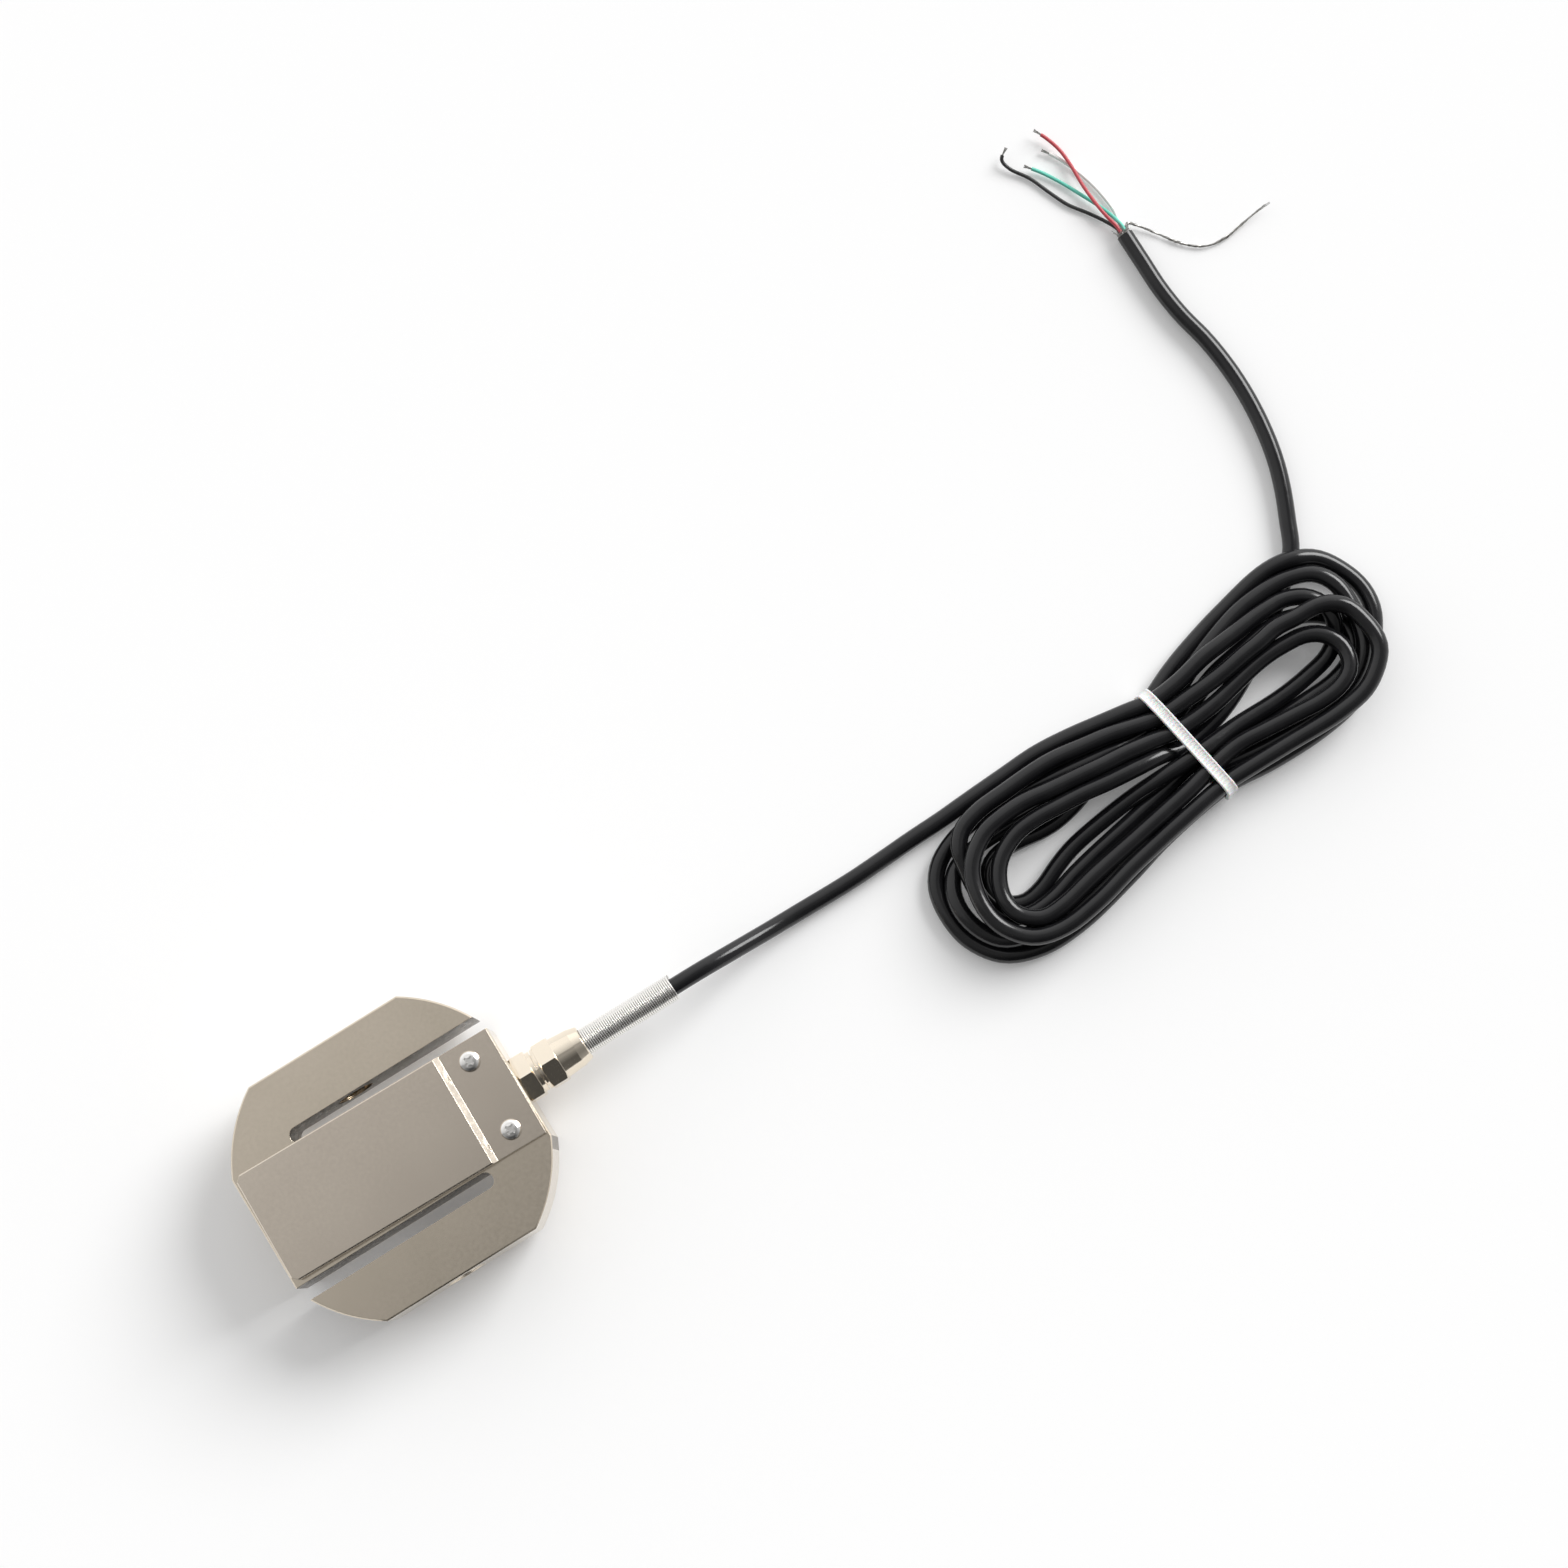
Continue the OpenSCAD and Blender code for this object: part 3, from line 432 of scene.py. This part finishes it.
def bump(nodes, links, height, strength, distance, rounded=0.0):
    """Bump from a grey height, over edges rounded by a small radius."""
    node = nodes.new("ShaderNodeBump")
    node.inputs["Strength"].default_value = strength
    node.inputs["Distance"].default_value = distance
    links.new(height, node.inputs["Height"])
    if rounded:
        edge = nodes.new("ShaderNodeBevel")
        edge.samples = EDGE_SAMPLES
        edge.inputs["Radius"].default_value = rounded
        links.new(edge.outputs["Normal"], node.inputs["Normal"])
    return node.outputs["Normal"]


def metal(name, low, high, rough, grain=900, rounded=0.0002):
    """Bright metal: cloudy tone, uneven gloss, fine grain and softened edges."""
    material, nodes, links, shader = new_material(name)
    shader.inputs["Metallic"].default_value = 1
    cloud = object_noise(nodes, links, METAL_CLOUDS)
    fine = object_noise(nodes, links, grain)
    links.new(ramp(nodes, links, cloud, low, high), shader.inputs["Base Color"])
    links.new(span(nodes, links, fine, rough * 0.75, rough * 1.35), shader.inputs["Roughness"])
    slow = object_noise(nodes, links, METAL_WAVES, 1)
    surface = bump(nodes, links, slow, METAL_WAVE_STRENGTH, METAL_WAVE_DEPTH, rounded)
    links.new(surface, shader.inputs["Normal"])
    return material


def plain(name, low, high, rough, scale=300, strength=0.2, depth=0.0001, soft=0.0):
    """Plastic, rubber or lacquer: slight mottling, uneven gloss and a fine surface."""
    material, nodes, links, shader = new_material(name)
    cloud = object_noise(nodes, links, scale / 6)
    fine = object_noise(nodes, links, scale)
    links.new(ramp(nodes, links, cloud, low, high), shader.inputs["Base Color"])
    links.new(span(nodes, links, fine, rough * 0.8, rough * 1.25), shader.inputs["Roughness"])
    links.new(bump(nodes, links, fine, strength, depth), shader.inputs["Normal"])
    if soft:
        shader.inputs["Subsurface Weight"].default_value = soft
        shader.inputs["Subsurface Scale"].default_value = SOFT_DEPTH
    return material


def foil(name):
    """Gauge foil: fine metal lines on an amber carrier."""
    material, nodes, links, shader = new_material(name)
    place = nodes.new("ShaderNodeTexCoord")
    wave = nodes.new("ShaderNodeTexWave")
    wave.inputs["Scale"].default_value = FOIL_LINES
    links.new(place.outputs["Object"], wave.inputs["Vector"])
    lines = wave.outputs["Fac"]
    grid = ramp(nodes, links, lines, (0.45, 0.24, 0.05), (0.62, 0.50, 0.34), 0.45, 0.55)
    links.new(grid, shader.inputs["Base Color"])
    links.new(span(nodes, links, lines, 0.35, 0.2), shader.inputs["Roughness"])
    links.new(span(nodes, links, lines, 0.1, 0.9), shader.inputs["Metallic"])
    return material


nickel = metal("nickel_plate", (0.69, 0.61, 0.495), (0.73, 0.645, 0.53), 0.13)
# Slot walls: the nickel darkened to about a quarter as painted shade inside the narrow slots, with
# a rougher finish
painted_shade_slot_wall = metal("painted_shade_slot_wall", (0.16, 0.14, 0.12), (0.20, 0.175, 0.145), 0.3)
cover_nickel = metal("cover_plate", (0.70, 0.62, 0.525), (0.73, 0.65, 0.55), 0.13)
gland_nickel = metal("gland_plate", (0.84, 0.75, 0.62), (0.90, 0.81, 0.675), 0.12, 1200, 0.00012)
steel = metal("bright_steel", (0.85, 0.835, 0.81), (0.91, 0.895, 0.87), 0.17, 1500, 0.00006)
tin = metal("tinned_copper", (0.26, 0.255, 0.245), (0.46, 0.45, 0.43), 0.3, 3000, 0.0)
copper = metal("enamelled_copper", (0.55, 0.20, 0.06), (0.72, 0.31, 0.12), 0.25, 2000, 0.0)
jacket = plain("jacket", (0.005, 0.005, 0.006), (0.010, 0.010, 0.011), 0.17, 700, 0.12, 0.00006)
rubber = plain("rubber", (0.012, 0.012, 0.012), (0.022, 0.022, 0.021), 0.55, 900)
nylon = plain("nylon", (0.80, 0.80, 0.79), (0.88, 0.88, 0.87), 0.42, 500, 0.15, 0.0001, 0.3)
board = plain("board", (0.012, 0.11, 0.035), (0.02, 0.17, 0.055), 0.35, 1200)
chip = plain("chip", (0.01, 0.01, 0.011), (0.03, 0.03, 0.03), 0.4, 1500)
red = plain("core_red", (0.46, 0.045, 0.06), (0.56, 0.08, 0.095), 0.35, 900)
green = plain("core_green", (0.10, 0.52, 0.40), (0.16, 0.66, 0.52), 0.35, 900)
white = plain("core_white", (0.80, 0.80, 0.78), (0.88, 0.88, 0.86), 0.35, 900)
black = plain("core_black", (0.012, 0.012, 0.012), (0.03, 0.03, 0.03), 0.3, 900)
film = foil("gauge_film")


def dress(material, *names):
    for name in names:
        slots = NODES[name].material_slots
        if slots:
            for slot in slots:
                slot.material = material
        else:
            NODES[name].data.materials.append(material)


def dress_piece(obj, material):
    obj.data.materials.clear()
    obj.data.materials.append(material)


dress(cover_nickel, "front_cover", "back_cover")
dress(rubber, "front_gasket", "back_gasket", "gland_seal", "gland_grommet")
dress(steel, "front_screws", "back_screws")
dress(film, "gauge_upper_left", "gauge_upper_right", "gauge_lower_left", "gauge_lower_right")
dress(board, "terminal_board")
dress(tin, "solder_joints")
dress(chip, "trim_resistors")
dress(copper, "gauge_wires")
dress(red, "board_lead_red")
dress(green, "board_lead_green")
dress(white, "board_lead_white")
dress(black, "board_lead_black")
dress(gland_nickel, "gland_body", "gland_nut")
dress(jacket, "cable_entry")
dress_piece(cable, jacket)


# Body with its load threads
HOLE_R = 5.1
THREAD_R = 6.0
THREAD_PITCH = 1.75
THREAD_Y0 = 21.7
THREAD_Y1 = 37.65
FACE_Y = 38.0
MOUTH_DEPTH = 1.2
# How much steeper the thread's flanks are than ones that fill the pitch
THREAD_FLANK = 1.25
THREAD_ROWS = 100
THREAD_SIDES = 48
BORE_SIDES = 64
# Room round the thread for the wall of its sleeve
WALL = 0.06
# Inner side of the slots; their outer side is THREAD_Y0. The walls between them get painted shade.
SLOT_IN = 17.0
FACE_MARGIN = 0.01
JOIN_DISTANCE = 0.001
BODY_SHARP_ANGLE = 30


def merged_copy(name, source):
    """The CAD node's mesh as a new object, its split vertices joined."""
    obj = link(name, NODES[source].data.copy())
    bm = bmesh.new()
    bm.from_mesh(obj.data)
    bmesh.ops.remove_doubles(bm, verts=bm.verts, dist=JOIN_DISTANCE * MM)
    bm.to_mesh(obj.data)
    bm.free()
    return obj


def thread_radius(y, turn):
    """Inner radius of the threaded wall, opened to the countersink near the load face."""
    phase = (y / THREAD_PITCH - turn) % 1
    ridge = abs(2 * phase - 1)
    depth = min(1, max(0, THREAD_FLANK * ridge - (THREAD_FLANK - 1) / 2))
    cone = HOLE_R + max(0, y - (FACE_Y - MOUTH_DEPTH))
    return max(HOLE_R + (THREAD_R - HOLE_R) * depth, cone)


def thread_insert(sign):
    """Vertices and faces of a threaded sleeve in one load hole."""
    sides = THREAD_SIDES
    verts = []
    for outer in (False, True):
        for i in range(THREAD_ROWS + 1):
            y = THREAD_Y0 + (THREAD_Y1 - THREAD_Y0) * i / THREAD_ROWS
            for k in range(sides):
                turn = k / sides
                r = THREAD_R + 2 * WALL if outer else thread_radius(y, turn)
                a = turn * 2 * math.pi
                verts.append((sign * r * math.cos(a), sign * y, AXIS_Z + r * math.sin(a)))
    faces = []
    last = THREAD_ROWS * sides
    shell = last + sides
    for base in (0, shell):
        for row in range(base, base + last, sides):
            faces += band(row, row + sides, sides)
    for row in (0, last):
        faces += band(row, shell + row, sides)
    return verts, faces


def cutter(radius):
    """A round bar through the wall of each load hole, from its slot to past the load face."""
    verts = []
    faces = []
    sides = BORE_SIDES
    for sign in (-1, 1):
        first = len(verts)
        for y in (sign * (THREAD_Y0 - 1), sign * (FACE_Y + 1)):
            for k in range(sides):
                a = 2 * math.pi * k / sides
                verts.append((radius * math.cos(a), y, AXIS_Z + radius * math.sin(a)))
        faces += band(first, first + sides, sides)
        faces += [cap(first, sides), cap(first + sides, sides)]
    return mesh_object("cutter", verts, faces)


def make_body():
    body = merged_copy("s_block", "s_body")
    tool = cutter(THREAD_R + WALL)
    cut = body.modifiers.new("bore", "BOOLEAN")
    cut.operation = "DIFFERENCE"
    cut.solver = "EXACT"
    cut.object = tool
    bpy.context.view_layer.update()
    graph = bpy.context.evaluated_depsgraph_get()
    shape = bpy.data.meshes.new_from_object(body.evaluated_get(graph))
    body.modifiers.clear()
    body.data = shape
    bpy.data.objects.remove(tool)
    bm = bmesh.new()
    bm.from_mesh(body.data)
    for sign in (-1, 1):
        verts, faces = thread_insert(sign)
        new = [bm.verts.new(Vector(v) * MM) for v in verts]
        made = [bm.faces.new([new[k] for k in face]) for face in faces]
        bmesh.ops.recalc_face_normals(bm, faces=made)
    bm.to_mesh(body.data)
    bm.free()
    smooth_by_angle(body, BODY_SHARP_ANGLE)
    dress_piece(body, nickel)
    # Second material: painted shade on the faces of the slots' walls
    body.data.materials.append(painted_shade_slot_wall)
    for face in body.data.polygons:
        y = abs(face.center.y / MM)
        in_slot = SLOT_IN - FACE_MARGIN < y < THREAD_Y0 + FACE_MARGIN
        face.material_index = int(in_slot and abs(face.normal.z) < 0.5)
    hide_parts("s_body")


make_body()


# Close-coiled spring as one round wire
SPRING_X0 = 57.4
SPRING_D = 8.0
SPRING_WIRE = 0.65
SPRING_COILS = 53
COIL_POINTS = 36
COIL_SIDES = 8
# Share of the wire's radius that is drawn, so that a line parts each coil from the next
COIL_DRAWN = 0.9


def make_spring():
    r = (SPRING_D - SPRING_WIRE) / 2
    wire_r = SPRING_WIRE / 2
    line = []
    for k in range((SPRING_COILS - 1) * COIL_POINTS + 1):
        a = 2 * math.pi * k / COIL_POINTS
        x = SPRING_X0 + wire_r + SPRING_WIRE * k / COIL_POINTS
        line.append((x, r * math.cos(a), AXIS_Z + r * math.sin(a)))
    spring = tubes_object("spring_coil", [(line, wire_r * COIL_DRAWN, COIL_SIDES)])
    dress_piece(spring, steel)
    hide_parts("spring_guard")


make_spring()


# Tie: a ribbed strap drawn round the strands, with raised rims along both sides
STRAP_W = 3.5
STRAP_T = 1.1
STRAP_GAP = 0.05
STRAP_CHAMFER = 0.22
RIM_W = 0.55
RIM_SLOPE = 0.1
RIB_PITCH = 1.2
RIB_DEPTH = 0.22
RIB_POINTS = 4
ROUND_POINTS = 48
STRAND_MARGIN = 3


def strand_centres():
    """Places across and heights of the strands where they pass the tie's plane."""
    along, across = tie_axes(cable_line)
    found = []
    for k in range(len(along) - 1):
        near = abs(across[k]) < TIE_HALF + STRAND_MARGIN
        if near and along[k] * along[k + 1] <= 0:
            t = along[k] / (along[k] - along[k + 1])
            s = across[k] + t * (across[k + 1] - across[k])
            z = cable_line[k, 2] + t * (cable_line[k + 1, 2] - cable_line[k, 2])
            found.append((s, z))
    return found


def hull(points):
    """Corners of the convex outline of plane points, in order."""
    pts = sorted(set(points))

    def half(sequence):
        out = []
        for p in sequence:
            while len(out) > 1:
                (ax, ay), (bx, by) = out[-2], out[-1]
                if (bx - ax) * (p[1] - ay) - (by - ay) * (p[0] - ax) > 0:
                    break
                out.pop()
            out.append(p)
        return out[:-1]

    return half(pts) + half(pts[::-1])


def strap_outline(offset, step):
    """Outline round all strands at a distance, as evenly spaced points, with their normals."""
    r = CABLE_R + offset
    circles = []
    for s, z in strand_centres():
        for k in range(ROUND_POINTS):
            a = 2 * math.pi * k / ROUND_POINTS
            circles.append((s + r * math.cos(a), z + r * math.sin(a)))
    ring = hull(circles)
    loop = np.array([(s, z, 0) for s, z in ring + ring[:1]])
    even = resample(loop, step)[:-1, :2]
    t = np.roll(even, -1, 0) - np.roll(even, 1, 0)
    t /= np.linalg.norm(t, axis=1)[:, None]
    return even, np.stack([t[:, 1], -t[:, 0]], 1)


def tie_place(s, z, along):
    """Point at a place across the hank, a height and a place along it."""
    p = TIE_AT + ACROSS * s + ALONG * along
    return (p[0], p[1], z)


def make_tie():
    even, out = strap_outline(STRAP_GAP, RIB_PITCH / RIB_POINTS)
    count = len(even) // RIB_POINTS * RIB_POINTS
    half = STRAP_W / 2
    edge = half - STRAP_CHAMFER
    rim = half - RIM_W
    bed = rim - RIM_SLOPE
    side = STRAP_T - STRAP_CHAMFER
    verts = []
    for k in range(count):
        rib = RIB_DEPTH * (0.5 + 0.5 * math.cos(2 * math.pi * k / RIB_POINTS))
        low = STRAP_T - rib
        section = [(-half, 0), (-half, side), (-edge, STRAP_T), (-rim, STRAP_T), (-bed, low),
                   (bed, low), (rim, STRAP_T), (edge, STRAP_T), (half, side), (half, 0)]
        for u, h in section:
            s, z = even[k] + out[k] * h
            verts.append(tie_place(s, z, u))
    n = len(section)
    faces = []
    for k in range(count):
        faces += band(k * n, (k + 1) % count * n, n)
    tie = mesh_object("tie_strap", verts, faces)
    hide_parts("cable_tie")
    dress_piece(tie, nylon)
    return tie


tie = make_tie()


# Locking head of the tie, low under the strands on their +Y side
HEAD_ALONG = 6.0
HEAD_ACROSS = 5.0
HEAD_AT = 12.6
HEAD_TOP = 3.6
HEAD_ROUND = 0.5
HEAD_SEGMENTS = 3


def make_tie_head():
    bm = bmesh.new()
    bmesh.ops.create_cube(bm, size=1)
    for v in bm.verts:
        s = HEAD_AT + v.co.x * HEAD_ACROSS
        z = HEAD_TOP / 2 + v.co.z * HEAD_TOP
        v.co = Vector(tie_place(s, z, v.co.y * HEAD_ALONG)) * MM
    bmesh.ops.recalc_face_normals(bm, faces=bm.faces)
    bmesh.ops.bevel(bm, geom=bm.edges[:], offset=HEAD_ROUND * MM, segments=HEAD_SEGMENTS,
                    profile=0.5, affect="EDGES")
    mesh = bpy.data.meshes.new("tie_head")
    bm.to_mesh(mesh)
    bm.free()
    head = link("tie_head", mesh)
    smooth_by_angle(head)
    dress_piece(head, nylon)
    return head


head = make_tie_head()


# Cores, shield and drain wire at the cut end of the jacket
RED = [(318.3, 120, 3.2), (318.3, 122, 3.3), (317.4, 126, 3.6), (316.8, 131, 3.4),
       (316.6, 138, 2.8), (317, 145, 2.2), (316.8, 151, 1.8), (315.4, 156, 2), (313.4, 160, 2.6)]
GREEN = [(319.7, 120, 3.2), (319.7, 122, 3), (319, 126, 2.2), (317.4, 131, 1.4),
         (315.2, 136, 1.1), (312.4, 142, 0.9), (309, 148, 1), (305.4, 152.6, 1.6)]
WHITE = [(319.7, 120, 1.8), (319.7, 122, 1.4), (320.6, 127, 0.8), (320.4, 132, 0.7),
         (319.4, 138, 0.7), (317.6, 144, 0.7), (315, 150, 0.8), (312.4, 154, 1.2)]
BLACK = [(318.3, 120, 1.8), (318.3, 122, 1.6), (316.6, 126, 1.1), (313.6, 131, 0.8),
         (310.2, 136, 0.7), (307.6, 142, 0.7), (305, 148.6, 0.8), (301.4, 154.4, 1.2),
         (300.8, 157.6, 2), (303.6, 159.8, 3)]
DRAIN = [(320.5, 120, 2.5), (320.5, 121, 2.5), (321.8, 121.6, 2), (324, 119.6, 1.2),
         (327.4, 115, 0.7), (330.4, 110.6, 0.6), (333.6, 106.8, 0.6), (338, 103.8, 0.6),
         (343.6, 103, 0.6), (351, 104, 1), (356, 104.6, 1.8), (360, 104.6, 2.8)]
# Cores: their skin ends before the line does, and fine wires go on
CORE_STEP = 0.6
CORE_SIDES = 16
CORE_BARE = 2.4
STRAND_R = 0.09
STRAND_COUNT = 7
STRAND_RING = 0.2
STRAND_SPREAD = 1.2
STRAND_TWIST = 1.2
STRAND_STEP = 0.2
STRAND_SIDES = 6
# Drain wire: its twist, and the bundle's radius from a least one to a swelling one
DRAIN_STEP = 0.3
DRAIN_COUNT = 7
DRAIN_WIRE_R = 0.13
DRAIN_TWIST = 1.1
DRAIN_LEAST_R = 0.12
DRAIN_SWELL_R = 0.26
DRAIN_SIDES = 6
# Shield: crossing wires on a short sleeve, and loose ones that bend outward
SHIELD_R = 1.95
SHIELD_WIRE_R = 0.07
SHIELD_SIDES = 5
SHIELD_IN = 0.3
SHIELD_LENGTH = 1.5
SHIELD_COUNT = 22
SHIELD_SWEEP = 0.55
SHIELD_WEAVE = 0.07
SHIELD_STEPS = 6
LOOSE_COUNT = 16
LOOSE_STEPS = 5
LOOSE_START = 0.8
LOOSE_BEND = 0.7
LOOSE_LOWEST = 0.1


def coil_round(line, angle, radius, lowest):
    """Path that winds round a line, above a height; its angle and radius go point by point."""
    side, up = frames(line)
    path = line + (np.cos(angle) * radius)[:, None] * side + (np.sin(angle) * radius)[:, None] * up
    path[:, 2] = np.maximum(path[:, 2], lowest)
    return path


def strands(line, seed):
    """Fine wires twisted round a line, opening towards its end."""
    rng = random.Random(seed)
    s = np.linspace(0, 1, len(line))
    out = []
    for k in range(STRAND_COUNT):
        wobble = rng.uniform(0.7, 1.2)
        phase = 2 * math.pi * (k / STRAND_COUNT + rng.uniform(-0.05, 0.05))
        a = phase + STRAND_TWIST * s * length_of(line)
        r = STRAND_RING * wobble * (1 + STRAND_SPREAD * s ** 3)
        out.append((coil_round(line, a, r, STRAND_R), STRAND_R, STRAND_SIDES))
    return out


def make_core(name, node, route, material, seed):
    line = spline(route, CORE_STEP)
    bare = int(round(CORE_BARE / CORE_STEP))
    core = tubes_object(name, [(line[:-bare], CORE_R, CORE_SIDES)])
    dress_piece(core, material)
    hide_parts(node)
    fine = spline(line[-bare - 2:], STRAND_STEP)
    tips = tubes_object(name + "_tips", strands(fine, seed))
    dress_piece(tips, tin)
    return [core, tips]


def make_drain():
    line = spline(DRAIN, DRAIN_STEP)
    s = np.arange(len(line)) * DRAIN_STEP
    # The twist is loose in places, so the bundle swells and narrows along its length
    swell = 0.6 + 0.5 * np.sin(s * 0.62) * np.sin(s * 0.23 + 1)
    wires = []
    for k in range(DRAIN_COUNT):
        a = 2 * math.pi * k / DRAIN_COUNT + DRAIN_TWIST * s
        r = DRAIN_LEAST_R + DRAIN_SWELL_R * swell * (0.6 + 0.4 * math.cos(2.4 * k))
        taper = np.clip((s[-1] - s) / (2 + k), 0.25, 1)
        path = coil_round(line, a, r, DRAIN_WIRE_R)
        wires.append((path, DRAIN_WIRE_R * taper, DRAIN_SIDES))
    drain = tubes_object("drain_strands", wires)
    dress_piece(drain, tin)
    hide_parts("drain_wire")
    return drain


def make_shield():
    """Short end of the braided shield: crossing wires round the cores and a few loose ones."""
    rng = random.Random(7)
    cx, y0, cz = JACKET_END
    wires = []
    for way in (-1, 1):
        for k in range(SHIELD_COUNT):
            line = []
            for m in range(SHIELD_STEPS + 1):
                y = y0 - SHIELD_IN + SHIELD_LENGTH * m / SHIELD_STEPS
                a = 2 * math.pi * k / SHIELD_COUNT + way * SHIELD_SWEEP * m / SHIELD_STEPS
                r = SHIELD_R + SHIELD_WEAVE * math.cos(math.pi * (m + k))
                line.append((cx + r * math.cos(a), y, cz + r * math.sin(a)))
            wires.append((line, SHIELD_WIRE_R, SHIELD_SIDES))
    for _ in range(LOOSE_COUNT):
        a = rng.uniform(0, 2 * math.pi)
        lean = rng.uniform(-0.5, 0.5)
        reach = rng.uniform(1.2, 2.6)
        line = []
        for m in range(LOOSE_STEPS + 1):
            t = m / LOOSE_STEPS
            r = SHIELD_R + LOOSE_BEND * t * t
            z = max(cz + r * math.sin(a + lean * t), LOOSE_LOWEST)
            line.append((cx + r * math.cos(a + lean * t), y0 + LOOSE_START + reach * t, z))
        wires.append((line, SHIELD_WIRE_R, SHIELD_SIDES))
    shield = tubes_object("shield_braid", wires)
    dress_piece(shield, tin)
    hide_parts("shield_end")
    return shield


end_pieces = [make_drain(), make_shield()]
end_pieces += make_core("red_core", "core_red", RED, red, 1)
end_pieces += make_core("green_core", "core_green", GREEN, green, 2)
end_pieces += make_core("white_core", "core_white", WHITE, white, 3)
end_pieces += make_core("black_core", "core_black", BLACK, black, 4)


# Floor, light and background
FLOOR_COLOUR = 0.86
FLOOR_GLOW = 0.14
FLOOR_ROUGHNESS = 0.9
FLOOR_HALF_SIDE = 6
FLOOR_DROP = 0.0002
KEY_STRENGTH = 2.4
KEY_WIDTH = math.radians(34)
KEY_FROM = Vector((0.81, 0.19, 0.555))
SKY_STRENGTH = 1.27
# Brightness of the surroundings against how far a direction leans to +Y; high up, a lean to -X
# counts for a part of that
SKY = [(-1, 0.05), (-0.7, 0.06), (-0.4, 0.16), (-0.15, 0.27), (0.05, 0.24), (0.09, 0.26),
       (0.115, 0.33), (0.135, 0.47), (0.2, 0.52), (0.5, 0.68), (0.8, 0.85)]
SKY_TURN = -0.4
SKY_TURN_POWER = 6
# More brightness low on the +X side
SIDE_GLOW = 0.9


def maths(nodes, links, operation, a, b):
    """Output of one maths node; a and b are outputs or numbers."""
    node = nodes.new("ShaderNodeMath")
    node.operation = operation
    for k, value in enumerate((a, b)):
        if isinstance(value, (int, float)):
            node.inputs[k].default_value = value
        else:
            links.new(value, node.inputs[k])
    return node.outputs[0]


def seen_rays(nodes, links, level):
    """The level for camera, glossy and transmission rays, and 0 for the rays that light."""
    path = nodes.new("ShaderNodeLightPath")
    total = path.outputs["Is Camera Ray"]
    for ray in ("Is Glossy Ray", "Is Transmission Ray"):
        total = maths(nodes, links, "MAXIMUM", total, path.outputs[ray])
    return maths(nodes, links, "MULTIPLY", total, level)


def make_floor():
    bm = bmesh.new()
    bmesh.ops.create_grid(bm, x_segments=1, y_segments=1, size=FLOOR_HALF_SIDE)
    mesh = bpy.data.meshes.new("floor")
    bm.to_mesh(mesh)
    bm.free()
    floor = bpy.data.objects.new("floor", mesh)
    scene.collection.objects.link(floor)
    floor.location.z = -FLOOR_DROP
    material, nodes, links, shader = new_material("floor")
    shader.inputs["Base Color"].default_value = (FLOOR_COLOUR, FLOOR_COLOUR, FLOOR_COLOUR, 1)
    shader.inputs["Roughness"].default_value = FLOOR_ROUGHNESS
    shader.inputs["Specular IOR Level"].default_value = 0
    shader.inputs["Emission Color"].default_value = (1, 1, 1, 1)
    links.new(seen_rays(nodes, links, FLOOR_GLOW), shader.inputs["Emission Strength"])
    mesh.materials.append(material)


def make_key():
    """Broad soft light from the side that the cable runs out on."""
    data = bpy.data.lights.new("key", "SUN")
    data.energy = KEY_STRENGTH
    data.angle = KEY_WIDTH
    light = bpy.data.objects.new("key", data)
    scene.collection.objects.link(light)
    light.location = KEY_FROM
    light.rotation_euler = KEY_FROM.to_track_quat("Z", "Y").to_euler()


def make_world():
    """Surroundings: white for the camera, otherwise dark to -Y and bright to +Y and low +X."""
    world = bpy.data.worlds.new("studio")
    scene.world = world
    world.use_nodes = True
    nodes = world.node_tree.nodes
    links = world.node_tree.links
    nodes.clear()
    place = nodes.new("ShaderNodeTexCoord")
    split = nodes.new("ShaderNodeSeparateXYZ")
    links.new(place.outputs["Generated"], split.inputs[0])
    x, y, z = split.outputs
    up = maths(nodes, links, "MAXIMUM", z, 0)
    high = maths(nodes, links, "POWER", up, SKY_TURN_POWER)
    aside = maths(nodes, links, "MULTIPLY", x, high)
    turned = maths(nodes, links, "MULTIPLY", aside, SKY_TURN)
    lean = maths(nodes, links, "ADD", y, turned)
    share = maths(nodes, links, "MULTIPLY", maths(nodes, links, "ADD", lean, 1), 0.5)
    shades = nodes.new("ShaderNodeValToRGB")
    stops = shades.color_ramp.elements
    for leaning, level in SKY[1:-1]:
        stops.new((leaning + 1) / 2).color = (level, level, level, 1)
    for k in (0, -1):
        leaning, level = SKY[k]
        stops[k].position = (leaning + 1) / 2
        stops[k].color = (level, level, level, 1)
    links.new(share, shades.inputs["Fac"])
    sky = maths(nodes, links, "MULTIPLY", shades.outputs["Color"], SKY_STRENGTH)
    right = maths(nodes, links, "MAXIMUM", x, 0)
    flat = maths(nodes, links, "SUBTRACT", 1, up)
    low_right = maths(nodes, links, "MULTIPLY", right, flat)
    glow = maths(nodes, links, "MULTIPLY", low_right, SIDE_GLOW)
    total = maths(nodes, links, "ADD", sky, glow)
    path = nodes.new("ShaderNodeLightPath")
    seen = nodes.new("ShaderNodeMix")
    seen.data_type = "FLOAT"
    seen.inputs[3].default_value = 1
    links.new(path.outputs["Is Camera Ray"], seen.inputs[0])
    links.new(total, seen.inputs[2])
    background = nodes.new("ShaderNodeBackground")
    background.inputs["Color"].default_value = (1, 1, 1, 1)
    links.new(seen.outputs[0], background.inputs["Strength"])
    output = nodes.new("ShaderNodeOutputWorld")
    links.new(background.outputs[0], output.inputs[0])


make_floor()
make_world()
make_key()
